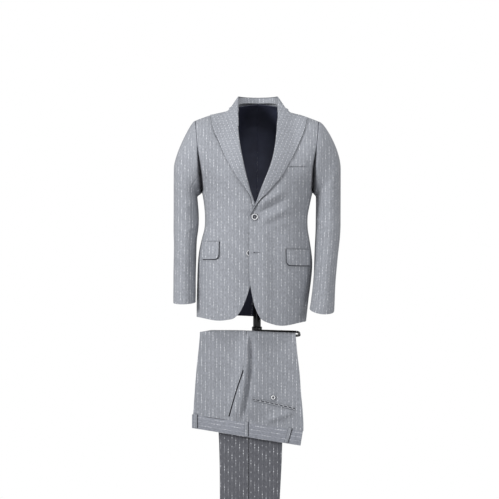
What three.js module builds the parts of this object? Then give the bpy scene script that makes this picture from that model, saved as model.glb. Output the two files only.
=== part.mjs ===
// A man's two-piece suit in millimetres, +Z up, the wearer's front faces -Y.
// The origin is the base of the wearer's neck, in the plane of the shoulder seams.
// The jacket keeps the hollow form of a general wearer. The trousers are folded on their
// creases and hang over a trouser rod, waist downwards in front and legs behind.
// "left" and "right" in the names are the wearer's.
import * as THREE from 'three';

const { lerp, clamp, smoothstep, degToRad } = THREE.MathUtils;

// ---- cloth ----
const BODY_CLOTH = 2.0;        // jacket body: cloth, canvas and lining
const SLEEVE_CLOTH = 1.6;
const TROUSER_CLOTH = 1.3;
const SEAM = 0.3;              // space left at a seam
const OVERLAY = 0.8;           // lift of a piece that lies on a panel

// ---- colours ----
const CLOTH = { color: 0x9a9da6, roughness: 0.9, metalness: 0 };
const LAPEL_CLOTH = { color: 0xa6a9b0, roughness: 0.9, metalness: 0 };
const SHADE_CLOTH = { color: 0x8a8c95, roughness: 0.9, metalness: 0 };
const HORN = { color: 0x6a6a70, roughness: 0.35, metalness: 0.1 };
const ENAMEL = { color: 0x0b0b0c, roughness: 0.2, metalness: 0.4 };

// ---- jacket body: sections from the shoulders to the hem ----
const SIDE_POWER = 2.4;        // how square a section is across
const DEPTH_POWER = 2.2;       // how square it is from front to back
const SPINE_Y = 4;             // plane of the shoulder seams and the widest line
const BODY = [
  { z: 40, centre: 5, half: 290, front: 126, back: 104 },
  { z: -50, centre: 5, half: 276, front: 130, back: 108 },
  { z: -110, centre: 5, half: 265, front: 131, back: 111 },
  { z: -150, centre: 4.5, half: 255, front: 131, back: 112 },
  { z: -190, centre: 4, half: 235, front: 131, back: 111 },
  { z: -230, centre: 3.5, half: 210, front: 130, back: 108 },
  { z: -260, centre: 3, half: 194, front: 128, back: 105 },
  { z: -286, centre: 2.7, half: 184, front: 126, back: 101 },
  { z: -325, centre: 1.5, half: 176, front: 123, back: 95 },
  { z: -363, centre: -0.7, half: 171, front: 120, back: 90 },
  { z: -403, centre: -1.5, half: 172, front: 119, back: 89 },
  { z: -443, centre: -3.3, half: 180, front: 121, back: 95 },
  { z: -483, centre: -4.3, half: 187, front: 123, back: 104 },
  { z: -523, centre: -5, half: 190.5, front: 124, back: 111 },
  { z: -583, centre: -8.5, half: 189.5, front: 124, back: 118 },
  { z: -643, centre: -13, half: 186, front: 124, back: 121 },
  { z: -720, centre: -18, half: 182, front: 124, back: 123 },
];

// ---- shoulder line: height by distance from the centre ----
const SHOULDER = [
  { out: 0, z: 20 },
  { out: 40, z: 15 },
  { out: 75, z: 0 },
  { out: 90, z: -8 },
  { out: 106, z: -15 },
  { out: 125, z: -20 },
  { out: 146, z: -25 },
  { out: 172, z: -34 },
  { out: 198, z: -44 },
  { out: 221, z: -54 },
  { out: 245, z: -64 },
];
const SHOULDER_LEAN = 0.014;   // the wearer's left shoulder is a little lower
const CHEST_RISE = 220;        // height over which the chest rounds into the shoulder
const BLADE_RISE = 190;
// how squarely it rounds: in the middle, towards the shoulder points, and extra at the nape
const CHEST_POWER = { middle: 1.3, side: 2.1, from: 110, to: 215 };
const BLADE_POWER = { middle: 1.3, side: 2, from: 90, to: 215, nape: 1.5, napeHalf: 90 };
const RIDGE_BLEND = 8;         // below the shoulder line the wall turns from level to upright
const NECK_X = 5;              // the neck's middle
const NECK_HALF = 75;          // half width of the neckline at the shoulder seams
const NAPE_Z = 14;

// ---- soft drag folds of the front, up and outwards from the top button ----
const DRAG_FOLDS = [
  { x: 12, z: -352, toX: 118, toZ: -286, width: 15, height: 3.2 },
  { x: 20, z: -384, toX: 128, toZ: -330, width: 17, height: 2.4 },
  { x: -26, z: -360, toX: -98, toZ: -318, width: 16, height: 2 },
];
const DRAG_FADE = { in: [-0.1, 0.25], out: [0.6, 1.1] };

// ---- armhole ----
const ARMPIT_Z = -286;
const ARMPIT_REACH = 184;
const SHOULDER_REACH = 208;
const SHOULDER_Z = -50;
const ARMHOLE_BOW = 1.2;
const LEFT_INSET = 7;          // the left armhole is cut further in, up to this height
const LEFT_INSET_Z = -190;
const SEAM_LIMIT_Z = -150;     // the side seams meet the armhole below this

// ---- seams round the body, as angles from the side, front negative ----
const FRONT_SEAM = -22;
const BACK_SEAM = 38;

// ---- hem of the back and sides ----
const HEM_Z = -705;
const HEM_SLOPE = -0.044;
const SEAM_X = 170;            // the hem's height at a side seam is taken this far out

// ---- levels of the panels' rows: up the seam, then up the armhole ----
const SEAM_LEVELS = [0, 0.045, 0.1, 0.17, 0.25, 0.34, 0.44, 0.54, 0.64, 0.75, 0.86, 0.93, 1];
const ARMHOLE_LEVELS = [0.17, 0.34, 0.5, 0.66, 0.8, 0.91, 1];

// ---- front edges from the hem to the neck, one row for each level ----
const UNDER_EDGE = [
  { x: -102, z: -703 },
  { x: -75, z: -697 },
  { x: -55, z: -677 },
  { x: -40, z: -647 },
  { x: -28, z: -614 },
  { x: -17, z: -573 },
  { x: -7, z: -525 },
  { x: 1, z: -475 },
  { x: 8, z: -420 },
  { x: 13, z: -368 },
  { x: -5, z: -325 },
  { x: -18, z: -290 },
  { x: -29, z: -250 },
  { x: -40, z: -205 },
  { x: -48, z: -165 },
  { x: -55, z: -125 },
  { x: -60, z: -88 },
  { x: -64, z: -55 },
  { x: -67, z: -25 },
  { x: -70, z: 8 },
];
const OVER_EDGE = [
  { x: 60, z: -718.5 },
  { x: 23, z: -705 },
  { x: 8, z: -690 },
  { x: -6, z: -659 },
  { x: -14, z: -627 },
  { x: -20, z: -592 },
  { x: -25, z: -550 },
  { x: -25, z: -490 },
  { x: -25, z: -430 },
  { x: -25, z: -372 },
  { x: -3, z: -325 },
  { x: 10, z: -287 },
  { x: 25, z: -250 },
  { x: 43, z: -205 },
  { x: 54, z: -165 },
  { x: 61, z: -125 },
  { x: 65, z: -88 },
  { x: 68, z: -55 },
  { x: 73, z: -25 },
  { x: 80, z: 8 },
];
const FRONT_HEM_SAG = { right: 6, left: 8 };
const OVERLAP_LIFT = 3.2;      // the wearer's left front lies over the right one
const OPEN_LIFT = 7.2;         // below the fastened button it stands further off
const OVERLAP_X = [20, 62];    // the lift dies away over this width
const OVERLAP_Z = [-330, -250];
const OPEN_Z = [-430, -390];

// ---- lapels: roll line and outer edge, from the break up to the gorge ----
const RIGHT_LAPEL = [
  { rollX: -4, rollZ: -330, edgeX: -13, edgeZ: -334 },
  { rollX: -17, rollZ: -296, edgeX: -22, edgeZ: -300 },
  { rollX: -27, rollZ: -260, edgeX: -54, edgeZ: -253 },
  { rollX: -35, rollZ: -226, edgeX: -80, edgeZ: -212 },
  { rollX: -43, rollZ: -190, edgeX: -100, edgeZ: -177 },
  { rollX: -50, rollZ: -155, edgeX: -123, edgeZ: -126 },
  { rollX: -55, rollZ: -120, edgeX: -142, edgeZ: -85 },
  { rollX: -59, rollZ: -75, edgeX: -153, edgeZ: -32 },
];
const LEFT_LAPEL = [
  { rollX: -23, rollZ: -362, edgeX: -25, edgeZ: -364 },
  { rollX: -3, rollZ: -325, edgeX: 3, edgeZ: -327 },
  { rollX: 13, rollZ: -282, edgeX: 46, edgeZ: -277 },
  { rollX: 28, rollZ: -243, edgeX: 80, edgeZ: -236 },
  { rollX: 42, rollZ: -206, edgeX: 106, edgeZ: -191 },
  { rollX: 53, rollZ: -168, edgeX: 133, edgeZ: -142 },
  { rollX: 60, rollZ: -125, edgeX: 155, edgeZ: -90 },
  { rollX: 65, rollZ: -82, edgeX: 167, edgeZ: -41 },
];
const RIGHT_NOTCH = { x: -126, z: -29 };
const LEFT_NOTCH = { x: 141, z: -38 };
const NOTCH_AT = 0.72;         // share of the lapel's width inside the notch
const LAPEL_LIFT = 5;          // outer face of a lapel above its front
const ROLL_LIFT = 3;           // the roll stands this much further out, over this share of the width
const ROLL_SHARE = [-0.2, 0.12];
const LAPEL_CLOTH_THICK = 1.8;

// ---- collar: half sections from the centre back to the gorge, outwards from the centre ----
const COLLAR = [
  {
    rollX: 0, rollY: 75, rollZ: 41, edgeX: 0, edgeY: 86, edgeZ: -4,
    seamX: 0, seamY: 59, seamZ: 16,
  },
  {
    rollX: 36, rollY: 66, rollZ: 41, edgeX: 42, edgeY: 77, edgeZ: -3,
    seamX: 33, seamY: 50, seamZ: 16,
  },
  {
    rollX: 57, rollY: 45, rollZ: 40, edgeX: 69, edgeY: 53, edgeZ: -5,
    seamX: 56, seamY: 30, seamZ: 12,
  },
  {
    rollX: 67, rollY: 14, rollZ: 36, edgeX: 82, edgeY: 16, edgeZ: -2,
    seamX: 66, seamY: 6, seamZ: 6,
  },
  {
    rollX: 69, rollY: -8, rollZ: 18, edgeX: 98, edgeY: -9, edgeZ: -14,
    seamX: 68, seamY: -8, seamZ: -4,
  },
  {
    rollX: 68, rollY: -36, rollZ: -22, edgeX: 116, edgeY: -16, edgeZ: -24,
    seamX: 66, seamY: -30, seamZ: -29,
  },
  {
    rollX: 64, rollY: -66, rollZ: -73, edgeX: 131, edgeY: -14, edgeZ: -31,
    seamX: 62, seamY: -60, seamZ: -75,
  },
];

// ---- sleeves: level sections from the armpit down to the cuff ----
const RIGHT_SLEEVE = [
  { z: -300, outer: -275, inner: -197, middleY: 6, depth: 68, tilt: 0 },
  { z: -350, outer: -276, inner: -193.5, middleY: 5, depth: 66, tilt: 0 },
  { z: -400, outer: -276, inner: -193.5, middleY: 2, depth: 63, tilt: 0 },
  { z: -450, outer: -275, inner: -199, middleY: -3, depth: 60, tilt: 0 },
  { z: -510, outer: -275, inner: -200.5, middleY: -12, depth: 57, tilt: 0 },
  { z: -570, outer: -275, inner: -201, middleY: -22, depth: 53, tilt: -0.02 },
  { z: -620, outer: -275, inner: -201, middleY: -29, depth: 51, tilt: -0.05 },
  { z: -649, outer: -274.5, inner: -201, middleY: -33, depth: 50, tilt: -0.08 },
];
const LEFT_SLEEVE = [
  { z: -300, outer: 280, inner: 198, middleY: 6, depth: 68, tilt: 0 },
  { z: -350, outer: 280, inner: 198, middleY: 3, depth: 66, tilt: 0 },
  { z: -400, outer: 279, inner: 197, middleY: -4, depth: 63, tilt: 0 },
  { z: -450, outer: 275, inner: 194, middleY: -14, depth: 60, tilt: -0.03 },
  { z: -510, outer: 267, inner: 191, middleY: -30, depth: 57, tilt: -0.08 },
  { z: -570, outer: 260, inner: 187, middleY: -47, depth: 53, tilt: -0.14 },
  { z: -630, outer: 256, inner: 180, middleY: -62, depth: 51, tilt: -0.2 },
  { z: -671, outer: 253, inner: 173, middleY: -71, depth: 50, tilt: -0.24 },
];
const SLEEVE_STEP = 1.1;       // space from the armhole edge to the sleeve
const CAP_OUT = { right: 15, left: 22 };       // how far the sleeve head runs out before it drops
const CAP_DROP = { right: 44, left: 62 };
const CAP_RISE = 95;           // the outer side of the head ends this far above the armpit
const UNDER_OUT = 7;           // the same at the armpit
const UNDER_DROP = 5;
const TILT_HALF = 12;          // how far a tilted ring drops from its middle, times the tilt
const SLEEVE_FRONT_SEAM = 122; // degrees round from the top, towards the front
const SLEEVE_BACK_SEAM = -78;
const TOP_SLEEVE_COLUMNS = 9;
const UNDER_SLEEVE_COLUMNS = 5;

// ---- pockets of the jacket, by the corner nearest the front edge ----
const FLAP_CLOTH = 2;
const FLAP_LIFT = OVERLAY + 0.6;
const FLAP_CORNER = { share: 1 / 6, high: 9 };   // the rounded lower corner
const JET_CLOTH = 1.2;
const WELT_CLOTH = 1.6;
const WELT_LIFT = OVERLAY + 0.4;
const RIGHT_FLAP = { near: -121, far: -176, z: -450, slope: 0.03, high: 55 };
const LEFT_FLAP = { near: 95, far: 171, z: -474, slope: -0.03, high: 51 };
const JET_HIGH = 4;
const WELT = { near: 104, far: 161, z: -186, high: 21, slope: 0.05 };

// ---- buttons ----
const FRONT_BUTTON = { radius: 10.2, thick: 3.4, dish: 7 };
const CUFF_BUTTON = { radius: 7, thick: 3, dish: 4.6 };
const BACK_POCKET_BUTTON = { radius: 7.2, thick: 3, dish: 4.8 };
const FRONT_BUTTON_1 = { x: -6.5, z: -369, lift: OVERLAP_LIFT + 1.2 };
const FRONT_BUTTON_2 = { x: -23, z: -486, lift: 0 };
const BUTTON_STAND = 0.6;
const BUTTON_BEVEL = 1;
const BUTTON_DISH_DEEP = 0.9;
const BUTTON_SIDES = 16;
const CUFF_BUTTONS = 4;
const CUFF_BUTTON_FIRST = 24;
const CUFF_BUTTON_STEP = 14.5;

// ---- trousers: half widths of the folded trousers by height ----
const ROD_Y = -61;
const ROD_Z = -753;
const ROD_SLOPE = -0.03;
const ROD_RADIUS = 4;
const WAIST_Z = -1045;         // seam of the waistband where x is 0
const WAIST_SLOPE = -0.149;
const BAND_Z = -1091.6;        // free edge of the waistband where x is 0
const BAND_SLOPE = -0.163;
const LEG_END_Z = -1476;
const FRONT_HANG = [
  { z: -750, crease: -186, seam: -33, seat: 128 },
  { z: -802, crease: -190, seam: -36, seat: 133 },
  { z: -867, crease: -196, seam: -43, seat: 141 },
  { z: -932, crease: -201, seam: -51, seat: 146 },
  { z: -982, crease: -204, seam: -57, seat: 151 },
  { z: -1027, crease: -207, seam: -64, seat: 153.5 },
  { z: -1070, crease: -210, seam: -67, seat: 151.5 },
  { z: -1115, crease: -211, seam: -70, seat: 143 },
];
const BACK_HANG = [
  { z: -750, crease: -186, seam: -33, seat: 128 },
  { z: -850, crease: -162, seam: -29, seat: 118 },
  { z: -960, crease: -136, seam: -27, seat: 98 },
  { z: -1070, crease: -126, seam: -26, seat: 87 },
  { z: -1180, crease: -122, seam: -26, seat: 82.5 },
  { z: -1300, crease: -121, seam: -26, seat: 76.5 },
  { z: -1476, crease: -119, seam: -26, seat: 71 },
];
const LAYER_STEP = TROUSER_CLOTH + 0.4;
const INNERMOST = ROD_RADIUS + 0.4 + TROUSER_CLOTH / 2;
const LEGS = {
  far: { outer: INNERMOST, inner: INNERMOST + LAYER_STEP },
  near: { outer: INNERMOST + 3 * LAYER_STEP, inner: INNERMOST + 2 * LAYER_STEP },
};
// past the end of the rod the trousers sag, less and less down the front and back
const SAG = { deep: 7, from: 142, to: 190, endZ: -900, topZ: -750 };
const CROWN = { high: 2.6, x: -45, half: 80 };   // the seams stand up over the rod
const CROTCH_FROM = -870;
const CROTCH_TO = -800;
const HANG_LEVELS = [0, 0.1, 0.25, 0.42, 0.6, 0.78, 0.92, 1];
const ROD_TURNS = [36, 72, 108, 144, 180];
const LEG_LEVELS = [-775, -850, -960, -1070, -1200, -1340, LEG_END_Z];
// the long soft fold beside the side seam, and the drag towards the seat
const HANG_FOLDS = [
  { x: -29, z: -856, toX: -47, toZ: -1012, width: 9, height: -3 },
  { x: -38, z: -790, toX: -62, toZ: -1010, width: 11, height: 4.5 },
  { x: 2, z: -770, toX: -22, toZ: -1000, width: 17, height: 3 },
  { x: 18, z: -1026, toX: 118, toZ: -990, width: 13, height: 2.6 },
];
const HANG_FADE = { in: [-0.05, 0.2], out: [0.8, 1.1] };
const BAND_CLOTH = 2.2;
const BAND_OUT = 0.9;
const BAND_FLY = -211;         // the band's open end
const BAND_SEAT = { top: 151, foot: 143.5 };   // its fold at the centre back
const BAND_STATIONS = [-150, -90, -33, 40, 100];
const LOOP_OUT = BAND_OUT + 0.5;
const LOOPS = [
  { name: 'belt_loop_1', leg: 'near', x: -199, lean: 0 },
  { name: 'belt_loop_2', leg: 'near', x: -33, lean: 0 },
  { name: 'belt_loop_3', leg: 'near', x: 110, lean: -14 },
  { name: 'belt_loop_4', leg: 'far', x: -33, lean: 0 },
  { name: 'belt_loop_5', leg: 'far', x: 110, lean: -14 },
];
const LOOP_WIDE = 10;
const LOOP_CLOTH = 1.6;
const SLASH_POCKET = [
  { x: -41, z: -851 },
  { x: -46, z: -872 },
  { x: -66, z: -932 },
  { x: -91, z: -1019 },
];
const BACK_POCKET = { near: -8, far: 124, z: -959, slope: -0.24, high: 4.6, pitch: 5 };
const POCKET_EDGE = { wide: 4, lift: 0.9, cloth: 1 };
const BACK_BUTTON = { x: 54, z: -957 };

// ---- carrier of the trousers ----
const ROD = { left: -141, right: 141, rearY: -1.6, rearZ: -744.5, corner: 15 };
const POST = { x: 1.7, y: 20, radius: 13, topZ: -655, footZ: -792 };
const POST_COLLAR = { radius: 17, high: 24, z: -745 };
const ROD_SIDES = 12;
const POST_SIDES = 24;

// ---- table lookup: smooth between rows ----
function rowBelow(table, key, at) {
  const rising = table[1][key] > table[0][key];
  let row = 0;
  const past = (at, level) => (rising ? at > level : at < level);
  while (row < table.length - 2 && past(at, table[row + 1][key])) row += 1;
  return row;
}

function slopeAt(table, key, column, row) {
  const before = table[Math.max(row - 1, 0)];
  const after = table[Math.min(row + 1, table.length - 1)];
  return (after[column] - before[column]) / (after[key] - before[key]);
}

function lookup(table, key, column, at) {
  const row = rowBelow(table, key, at);
  const low = table[row];
  const high = table[row + 1];
  const span = high[key] - low[key];
  const t = clamp((at - low[key]) / span, 0, 1);
  const ease = t * t * (3 - 2 * t);
  const start = slopeAt(table, key, column, row) * span;
  const end = slopeAt(table, key, column, row + 1) * span;
  const bend = start * t * (1 - t) ** 2 - end * t * t * (1 - t);
  return lerp(low[column], high[column], ease) + bend;
}

// ---- vectors as [x, y, z] ----
const plus = (a, b, k = 1) => [a[0] + b[0] * k, a[1] + b[1] * k, a[2] + b[2] * k];
const minus = (a, b) => plus(a, b, -1);
const mix = (a, b, t) => [lerp(a[0], b[0], t), lerp(a[1], b[1], t), lerp(a[2], b[2], t)];
const cross = (a, b) => [
  a[1] * b[2] - a[2] * b[1],
  a[2] * b[0] - a[0] * b[2],
  a[0] * b[1] - a[1] * b[0],
];
const unit = (a) => {
  const size = Math.hypot(...a) || 1;
  return [a[0] / size, a[1] / size, a[2] / size];
};
const range = (count) => Array.from({ length: count }, (_, i) => i);

// ---- a closed solid between two sheets of points with the same rows and columns ----
function solidBetween(top, under, closedAcross = false) {
  const rows = top.length;
  const columns = top[0].length;
  const points = [...top.flat(), ...under.flat()];
  const at = (sheet, i, j) => sheet * rows * columns + i * columns + (j % columns);
  const faces = [];
  const quad = (a, b, c, d) => faces.push([a, b, c], [a, c, d]);
  const across = closedAcross ? columns : columns - 1;
  for (let i = 0; i < rows - 1; i += 1) {
    for (let j = 0; j < across; j += 1) {
      quad(at(0, i, j), at(0, i, j + 1), at(0, i + 1, j + 1), at(0, i + 1, j));
      quad(at(1, i, j), at(1, i + 1, j), at(1, i + 1, j + 1), at(1, i, j + 1));
    }
  }
  for (let j = 0; j < across; j += 1) {
    quad(at(0, 0, j), at(1, 0, j), at(1, 0, j + 1), at(0, 0, j + 1));
    quad(at(0, rows - 1, j), at(0, rows - 1, j + 1), at(1, rows - 1, j + 1), at(1, rows - 1, j));
  }
  if (!closedAcross) {
    const end = columns - 1;
    for (let i = 0; i < rows - 1; i += 1) {
      quad(at(0, i, 0), at(0, i + 1, 0), at(1, i + 1, 0), at(1, i, 0));
      quad(at(0, i, end), at(1, i, end), at(1, i + 1, end), at(0, i + 1, end));
    }
  }
  let volume = 0;
  for (const [a, b, c] of faces) {
    const n = cross(points[b], points[c]);
    volume += points[a][0] * n[0] + points[a][1] * n[1] + points[a][2] * n[2];
  }
  if (volume < 0) faces.forEach((face) => face.reverse());
  const geometry = new THREE.BufferGeometry();
  geometry.setAttribute('position', new THREE.Float32BufferAttribute(points.flat(), 3));
  geometry.setIndex(faces.flat());
  geometry.computeVertexNormals();
  return geometry;
}

// ---- the general wearer's form that the jacket body follows ----
const shoulderZ = (out) => lookup(SHOULDER, 'out', 'z', Math.abs(out)) - SHOULDER_LEAN * out;
const bodyRow = (z) => ({
  centre: lookup(BODY, 'z', 'centre', z),
  half: lookup(BODY, 'z', 'half', z),
  front: lookup(BODY, 'z', 'front', z),
  back: lookup(BODY, 'z', 'back', z),
});

// share of the full depth at a drop below the shoulder line
function rounding(side, out, drop) {
  const rise = side < 0 ? CHEST_RISE : BLADE_RISE;
  const shape = side < 0 ? CHEST_POWER : BLADE_POWER;
  const nape = side < 0 ? 0 : shape.nape * Math.exp(-((out / shape.napeHalf) ** 2));
  const outwards = smoothstep(Math.abs(out), shape.from, shape.to);
  const power = lerp(shape.middle, shape.side, outwards) + nape;
  const left = 1 - Math.min(Math.max(drop, 0), rise) / rise;
  return (1 - left ** power) ** (1 / power);
}

// height of a table of soft ridges, each fading in and out along its run
function foldsAt(table, fade, x, z) {
  let total = 0;
  for (const fold of table) {
    const run = [fold.toX - fold.x, fold.toZ - fold.z];
    const length = Math.hypot(...run);
    const share = ((x - fold.x) * run[0] + (z - fold.z) * run[1]) / length ** 2;
    const off = ((x - fold.x) * run[1] - (z - fold.z) * run[0]) / length;
    const strength = smoothstep(share, ...fade.in) * (1 - smoothstep(share, ...fade.out));
    total += fold.height * strength * Math.exp(-((off / fold.width) ** 2));
  }
  return total;
}

// angle: 0 at the +X side, -90 at the front, 90 at the back, 180 at the -X side
function bodyBase(angle, z) {
  const row = bodyRow(z);
  const c = Math.cos(degToRad(angle));
  const s = Math.sin(degToRad(angle));
  const out = Math.sign(c) * row.half * Math.abs(c) ** (2 / SIDE_POWER);
  const x = row.centre + out;
  const side = s < 0 ? -1 : 1;
  const full = (side < 0 ? row.front : row.back) * Math.abs(s) ** (2 / DEPTH_POWER);
  const share = rounding(side, out, shoulderZ(out) - z);
  const fold = side < 0 ? foldsAt(DRAG_FOLDS, DRAG_FADE, x, z) * Math.abs(s) : 0;
  return [x, SPINE_Y + side * (full * share + fold), z];
}

function bodyNormal(angle, z) {
  const out = bodyBase(angle, z)[0] - bodyRow(z).centre;
  const drop = shoulderZ(out) - z;
  const above = Math.min(2, Math.max(drop, 0));
  const round = minus(bodyBase(angle + 1, z), bodyBase(angle - 1, z));
  const up = minus(bodyBase(angle, z + above), bodyBase(angle, z - 2));
  const normal = unit(cross(round, up));
  const ridge = 1 - smoothstep(drop, 0, RIDGE_BLEND);
  return unit([normal[0] * (1 - ridge), normal[1] * (1 - ridge), lerp(normal[2], 1, ridge)]);
}

const bodyAt = (angle, z, lift = 0) => plus(bodyBase(angle, z), bodyNormal(angle, z), lift);

function angleAt(side, x, z) {
  const row = bodyRow(z);
  const share = clamp((x - row.centre) / row.half, -1, 1);
  const c = Math.sign(share) * Math.abs(share) ** (SIDE_POWER / 2);
  return (side * Math.acos(c) * 180) / Math.PI;
}

const frontAt = (x, z, lift = 0) => bodyAt(angleAt(-1, x, z), z, lift);
const backAt = (x, z, lift = 0) => bodyAt(angleAt(1, x, z), z, lift);

// ---- armhole: how far out it lies at a height, and its height at an angle ----
function armholeReach(hand, z) {
  const share = clamp((z - ARMPIT_Z) / (SHOULDER_Z - ARMPIT_Z), 0, 1);
  const inset = hand > 0 ? LEFT_INSET * smoothstep(z, ARMPIT_Z, LEFT_INSET_Z) : 0;
  return ARMPIT_REACH + (SHOULDER_REACH - ARMPIT_REACH) * share ** ARMHOLE_BOW - inset;
}

function armholeZ(hand, angle) {
  const reach = Math.cos(degToRad(angle)) ** (2 / SIDE_POWER);
  let low = ARMPIT_Z;
  let high = SEAM_LIMIT_Z;
  for (let step = 0; step < 30; step += 1) {
    const middle = (low + high) / 2;
    if (armholeReach(hand, middle) / bodyRow(middle).half > reach) low = middle;
    else high = middle;
  }
  return low;
}

const hemZ = (x) => HEM_Z + HEM_SLOPE * x;
const seamTop = (hand, side) => armholeZ(hand, side < 0 ? FRONT_SEAM : BACK_SEAM);

// outer boundary of a front or back panel: the side seam, then the armhole
function outerPoint(hand, side, level) {
  const lower = SEAM_LEVELS.length - 1;
  const seam = side < 0 ? FRONT_SEAM : BACK_SEAM;
  const top = seamTop(hand, side);
  if (level <= lower) {
    const z = lerp(hemZ(hand * SEAM_X), top, SEAM_LEVELS[level]);
    const row = bodyRow(z);
    const reach = row.half * Math.cos(degToRad(seam)) ** (2 / SIDE_POWER) - SEAM / 2;
    return { x: row.centre + hand * reach, z };
  }
  const z = lerp(top, SHOULDER_Z, ARMHOLE_LEVELS[level - lower - 1]);
  return { x: bodyRow(z).centre + hand * armholeReach(hand, z), z };
}

function wallOf(columns, rows, pointAt, cloth) {
  const sheet = (lift) => range(rows).map((i) => range(columns).map((j) => pointAt(i, j, lift)));
  return solidBetween(sheet(0), sheet(-cloth));
}

const ROWS = SEAM_LEVELS.length + ARMHOLE_LEVELS.length;
const FRONT_COLUMNS = [0, 0.1, 0.22, 0.36, 0.52, 0.68, 0.84, 1];
const BACK_COLUMNS = [0, 0.2, 0.4, 0.6, 0.8, 1];

// the top row of a panel follows the shoulder line; inside the neck it follows the neckline
function topZ(out) {
  const ridge = shoulderZ(out);
  const inside = 1 - clamp(Math.abs(out) / NECK_HALF, 0, 1) ** 2;
  return Math.min(ridge, lerp(shoulderZ(NECK_HALF), NAPE_Z, inside));
}

function overlapLift(x, z) {
  const near = 1 - smoothstep(x, ...OVERLAP_X);
  const high = lerp(OPEN_LIFT, OVERLAP_LIFT, smoothstep(z, ...OPEN_Z));
  return near * high * (1 - smoothstep(z, ...OVERLAP_Z));
}

function front(hand) {
  const edges = hand < 0 ? UNDER_EDGE : OVER_EDGE;
  const sag = hand < 0 ? FRONT_HEM_SAG.right : FRONT_HEM_SAG.left;
  return wallOf(FRONT_COLUMNS.length, ROWS, (i, j, lift) => {
    const inner = edges[i];
    const outer = outerPoint(hand, -1, i);
    const share = FRONT_COLUMNS[j];
    const x = lerp(inner.x, outer.x, share);
    let z = lerp(inner.z, outer.z, share);
    if (i === 0) z -= sag * Math.sin(Math.PI * share) * (1 - share);
    if (i === ROWS - 1) z = shoulderZ(x - bodyRow(z).centre);
    const point = frontAt(x, z, lift + (hand > 0 ? overlapLift(x, z) : 0));
    if (i === ROWS - 1) point[1] = Math.min(point[1], SPINE_Y - SEAM / 2);
    return point;
  }, BODY_CLOTH);
}

function back(hand) {
  return wallOf(BACK_COLUMNS.length, ROWS, (i, j, lift) => {
    const outer = outerPoint(hand, 1, i);
    const lower = SEAM_LEVELS.length - 1;
    const share = BACK_COLUMNS[j];
    const bladeZ = seamTop(hand, 1);
    const upper = ARMHOLE_LEVELS[Math.max(i - lower - 1, 0)];
    const centreZ = i > lower ? lerp(bladeZ, NAPE_Z, upper) : lerp(HEM_Z, bladeZ, SEAM_LEVELS[i]);
    const x = lerp(bodyRow(centreZ).centre + (hand * SEAM) / 2, outer.x, share);
    const foot = hemZ(x);
    const head = topZ(x - NECK_X);
    let z = lerp(foot, bladeZ, SEAM_LEVELS[Math.min(i, lower)]);
    if (i > lower) z = lerp(lerp(bladeZ, head, upper), outer.z, share ** 3);
    if (i === ROWS - 1) z = head;
    if (i <= lower) z = lerp(z, outer.z, share ** 3);
    const point = backAt(x, z, lift);
    if (i === ROWS - 1) point[1] = Math.max(point[1], SPINE_Y + SEAM / 2);
    return point;
  }, BODY_CLOTH);
}

const SIDE_ANGLES = [FRONT_SEAM, -8, 6, 22, BACK_SEAM];
const SEAM_ANGLE = 0.075;      // half a seam, in degrees round the body
function side(hand) {
  return wallOf(SIDE_ANGLES.length, SEAM_LEVELS.length, (i, j, lift) => {
    const trim = j === 0 ? SEAM_ANGLE : j === SIDE_ANGLES.length - 1 ? -SEAM_ANGLE : 0;
    const angle = SIDE_ANGLES[j] + trim;
    const head = armholeZ(hand, SIDE_ANGLES[j]);
    const z = lerp(hemZ(hand * SEAM_X), head, SEAM_LEVELS[i]);
    return bodyAt(hand > 0 ? angle : 180 - angle, z, lift);
  }, BODY_CLOTH);
}

// ---- lapels ----
function lapelLift(share) {
  return LAPEL_LIFT + ROLL_LIFT * (1 - share) ** 2 * smoothstep(share, ...ROLL_SHARE);
}

function lapelPoint(table, notch, share, along) {
  const low = Math.min(Math.floor(along), table.length - 2);
  const t = along - low;
  const a = table[low];
  const b = table[low + 1];
  const top = table[table.length - 1];
  const roll = { x: lerp(a.rollX, b.rollX, t), z: lerp(a.rollZ, b.rollZ, t) };
  const edge = { x: lerp(a.edgeX, b.edgeX, t), z: lerp(a.edgeZ, b.edgeZ, t) };
  const x = lerp(roll.x, edge.x, share);
  const z = lerp(roll.z, edge.z, share);
  const bent = Math.min(share / NOTCH_AT, (1 - share) / (1 - NOTCH_AT));
  const straightX = lerp(top.rollX, top.edgeX, NOTCH_AT);
  const straightZ = lerp(top.rollZ, top.edgeZ, NOTCH_AT);
  const weight = bent * (along / (table.length - 1)) ** 5;
  return { x: x + (notch.x - straightX) * weight, z: z + (notch.z - straightZ) * weight };
}

const LAPEL_COLUMNS = [0, 0.14, 0.33, 0.53, NOTCH_AT, 0.86, 1];
const LAPEL_STEP = 0.5;        // rows of the lapel, in rows of its table

function lapel(hand) {
  const table = hand < 0 ? RIGHT_LAPEL : LEFT_LAPEL;
  const notch = hand < 0 ? RIGHT_NOTCH : LEFT_NOTCH;
  const rows = (table.length - 1) / LAPEL_STEP + 1;
  return wallOf(LAPEL_COLUMNS.length, rows, (i, j, lift) => {
    const share = LAPEL_COLUMNS[j];
    const at = lapelPoint(table, notch, share, i * LAPEL_STEP);
    const over = hand > 0 ? overlapLift(at.x, at.z) : 0;
    return frontAt(at.x, at.z, lapelLift(share) + over + lift);
  }, LAPEL_CLOTH_THICK);
}

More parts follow.
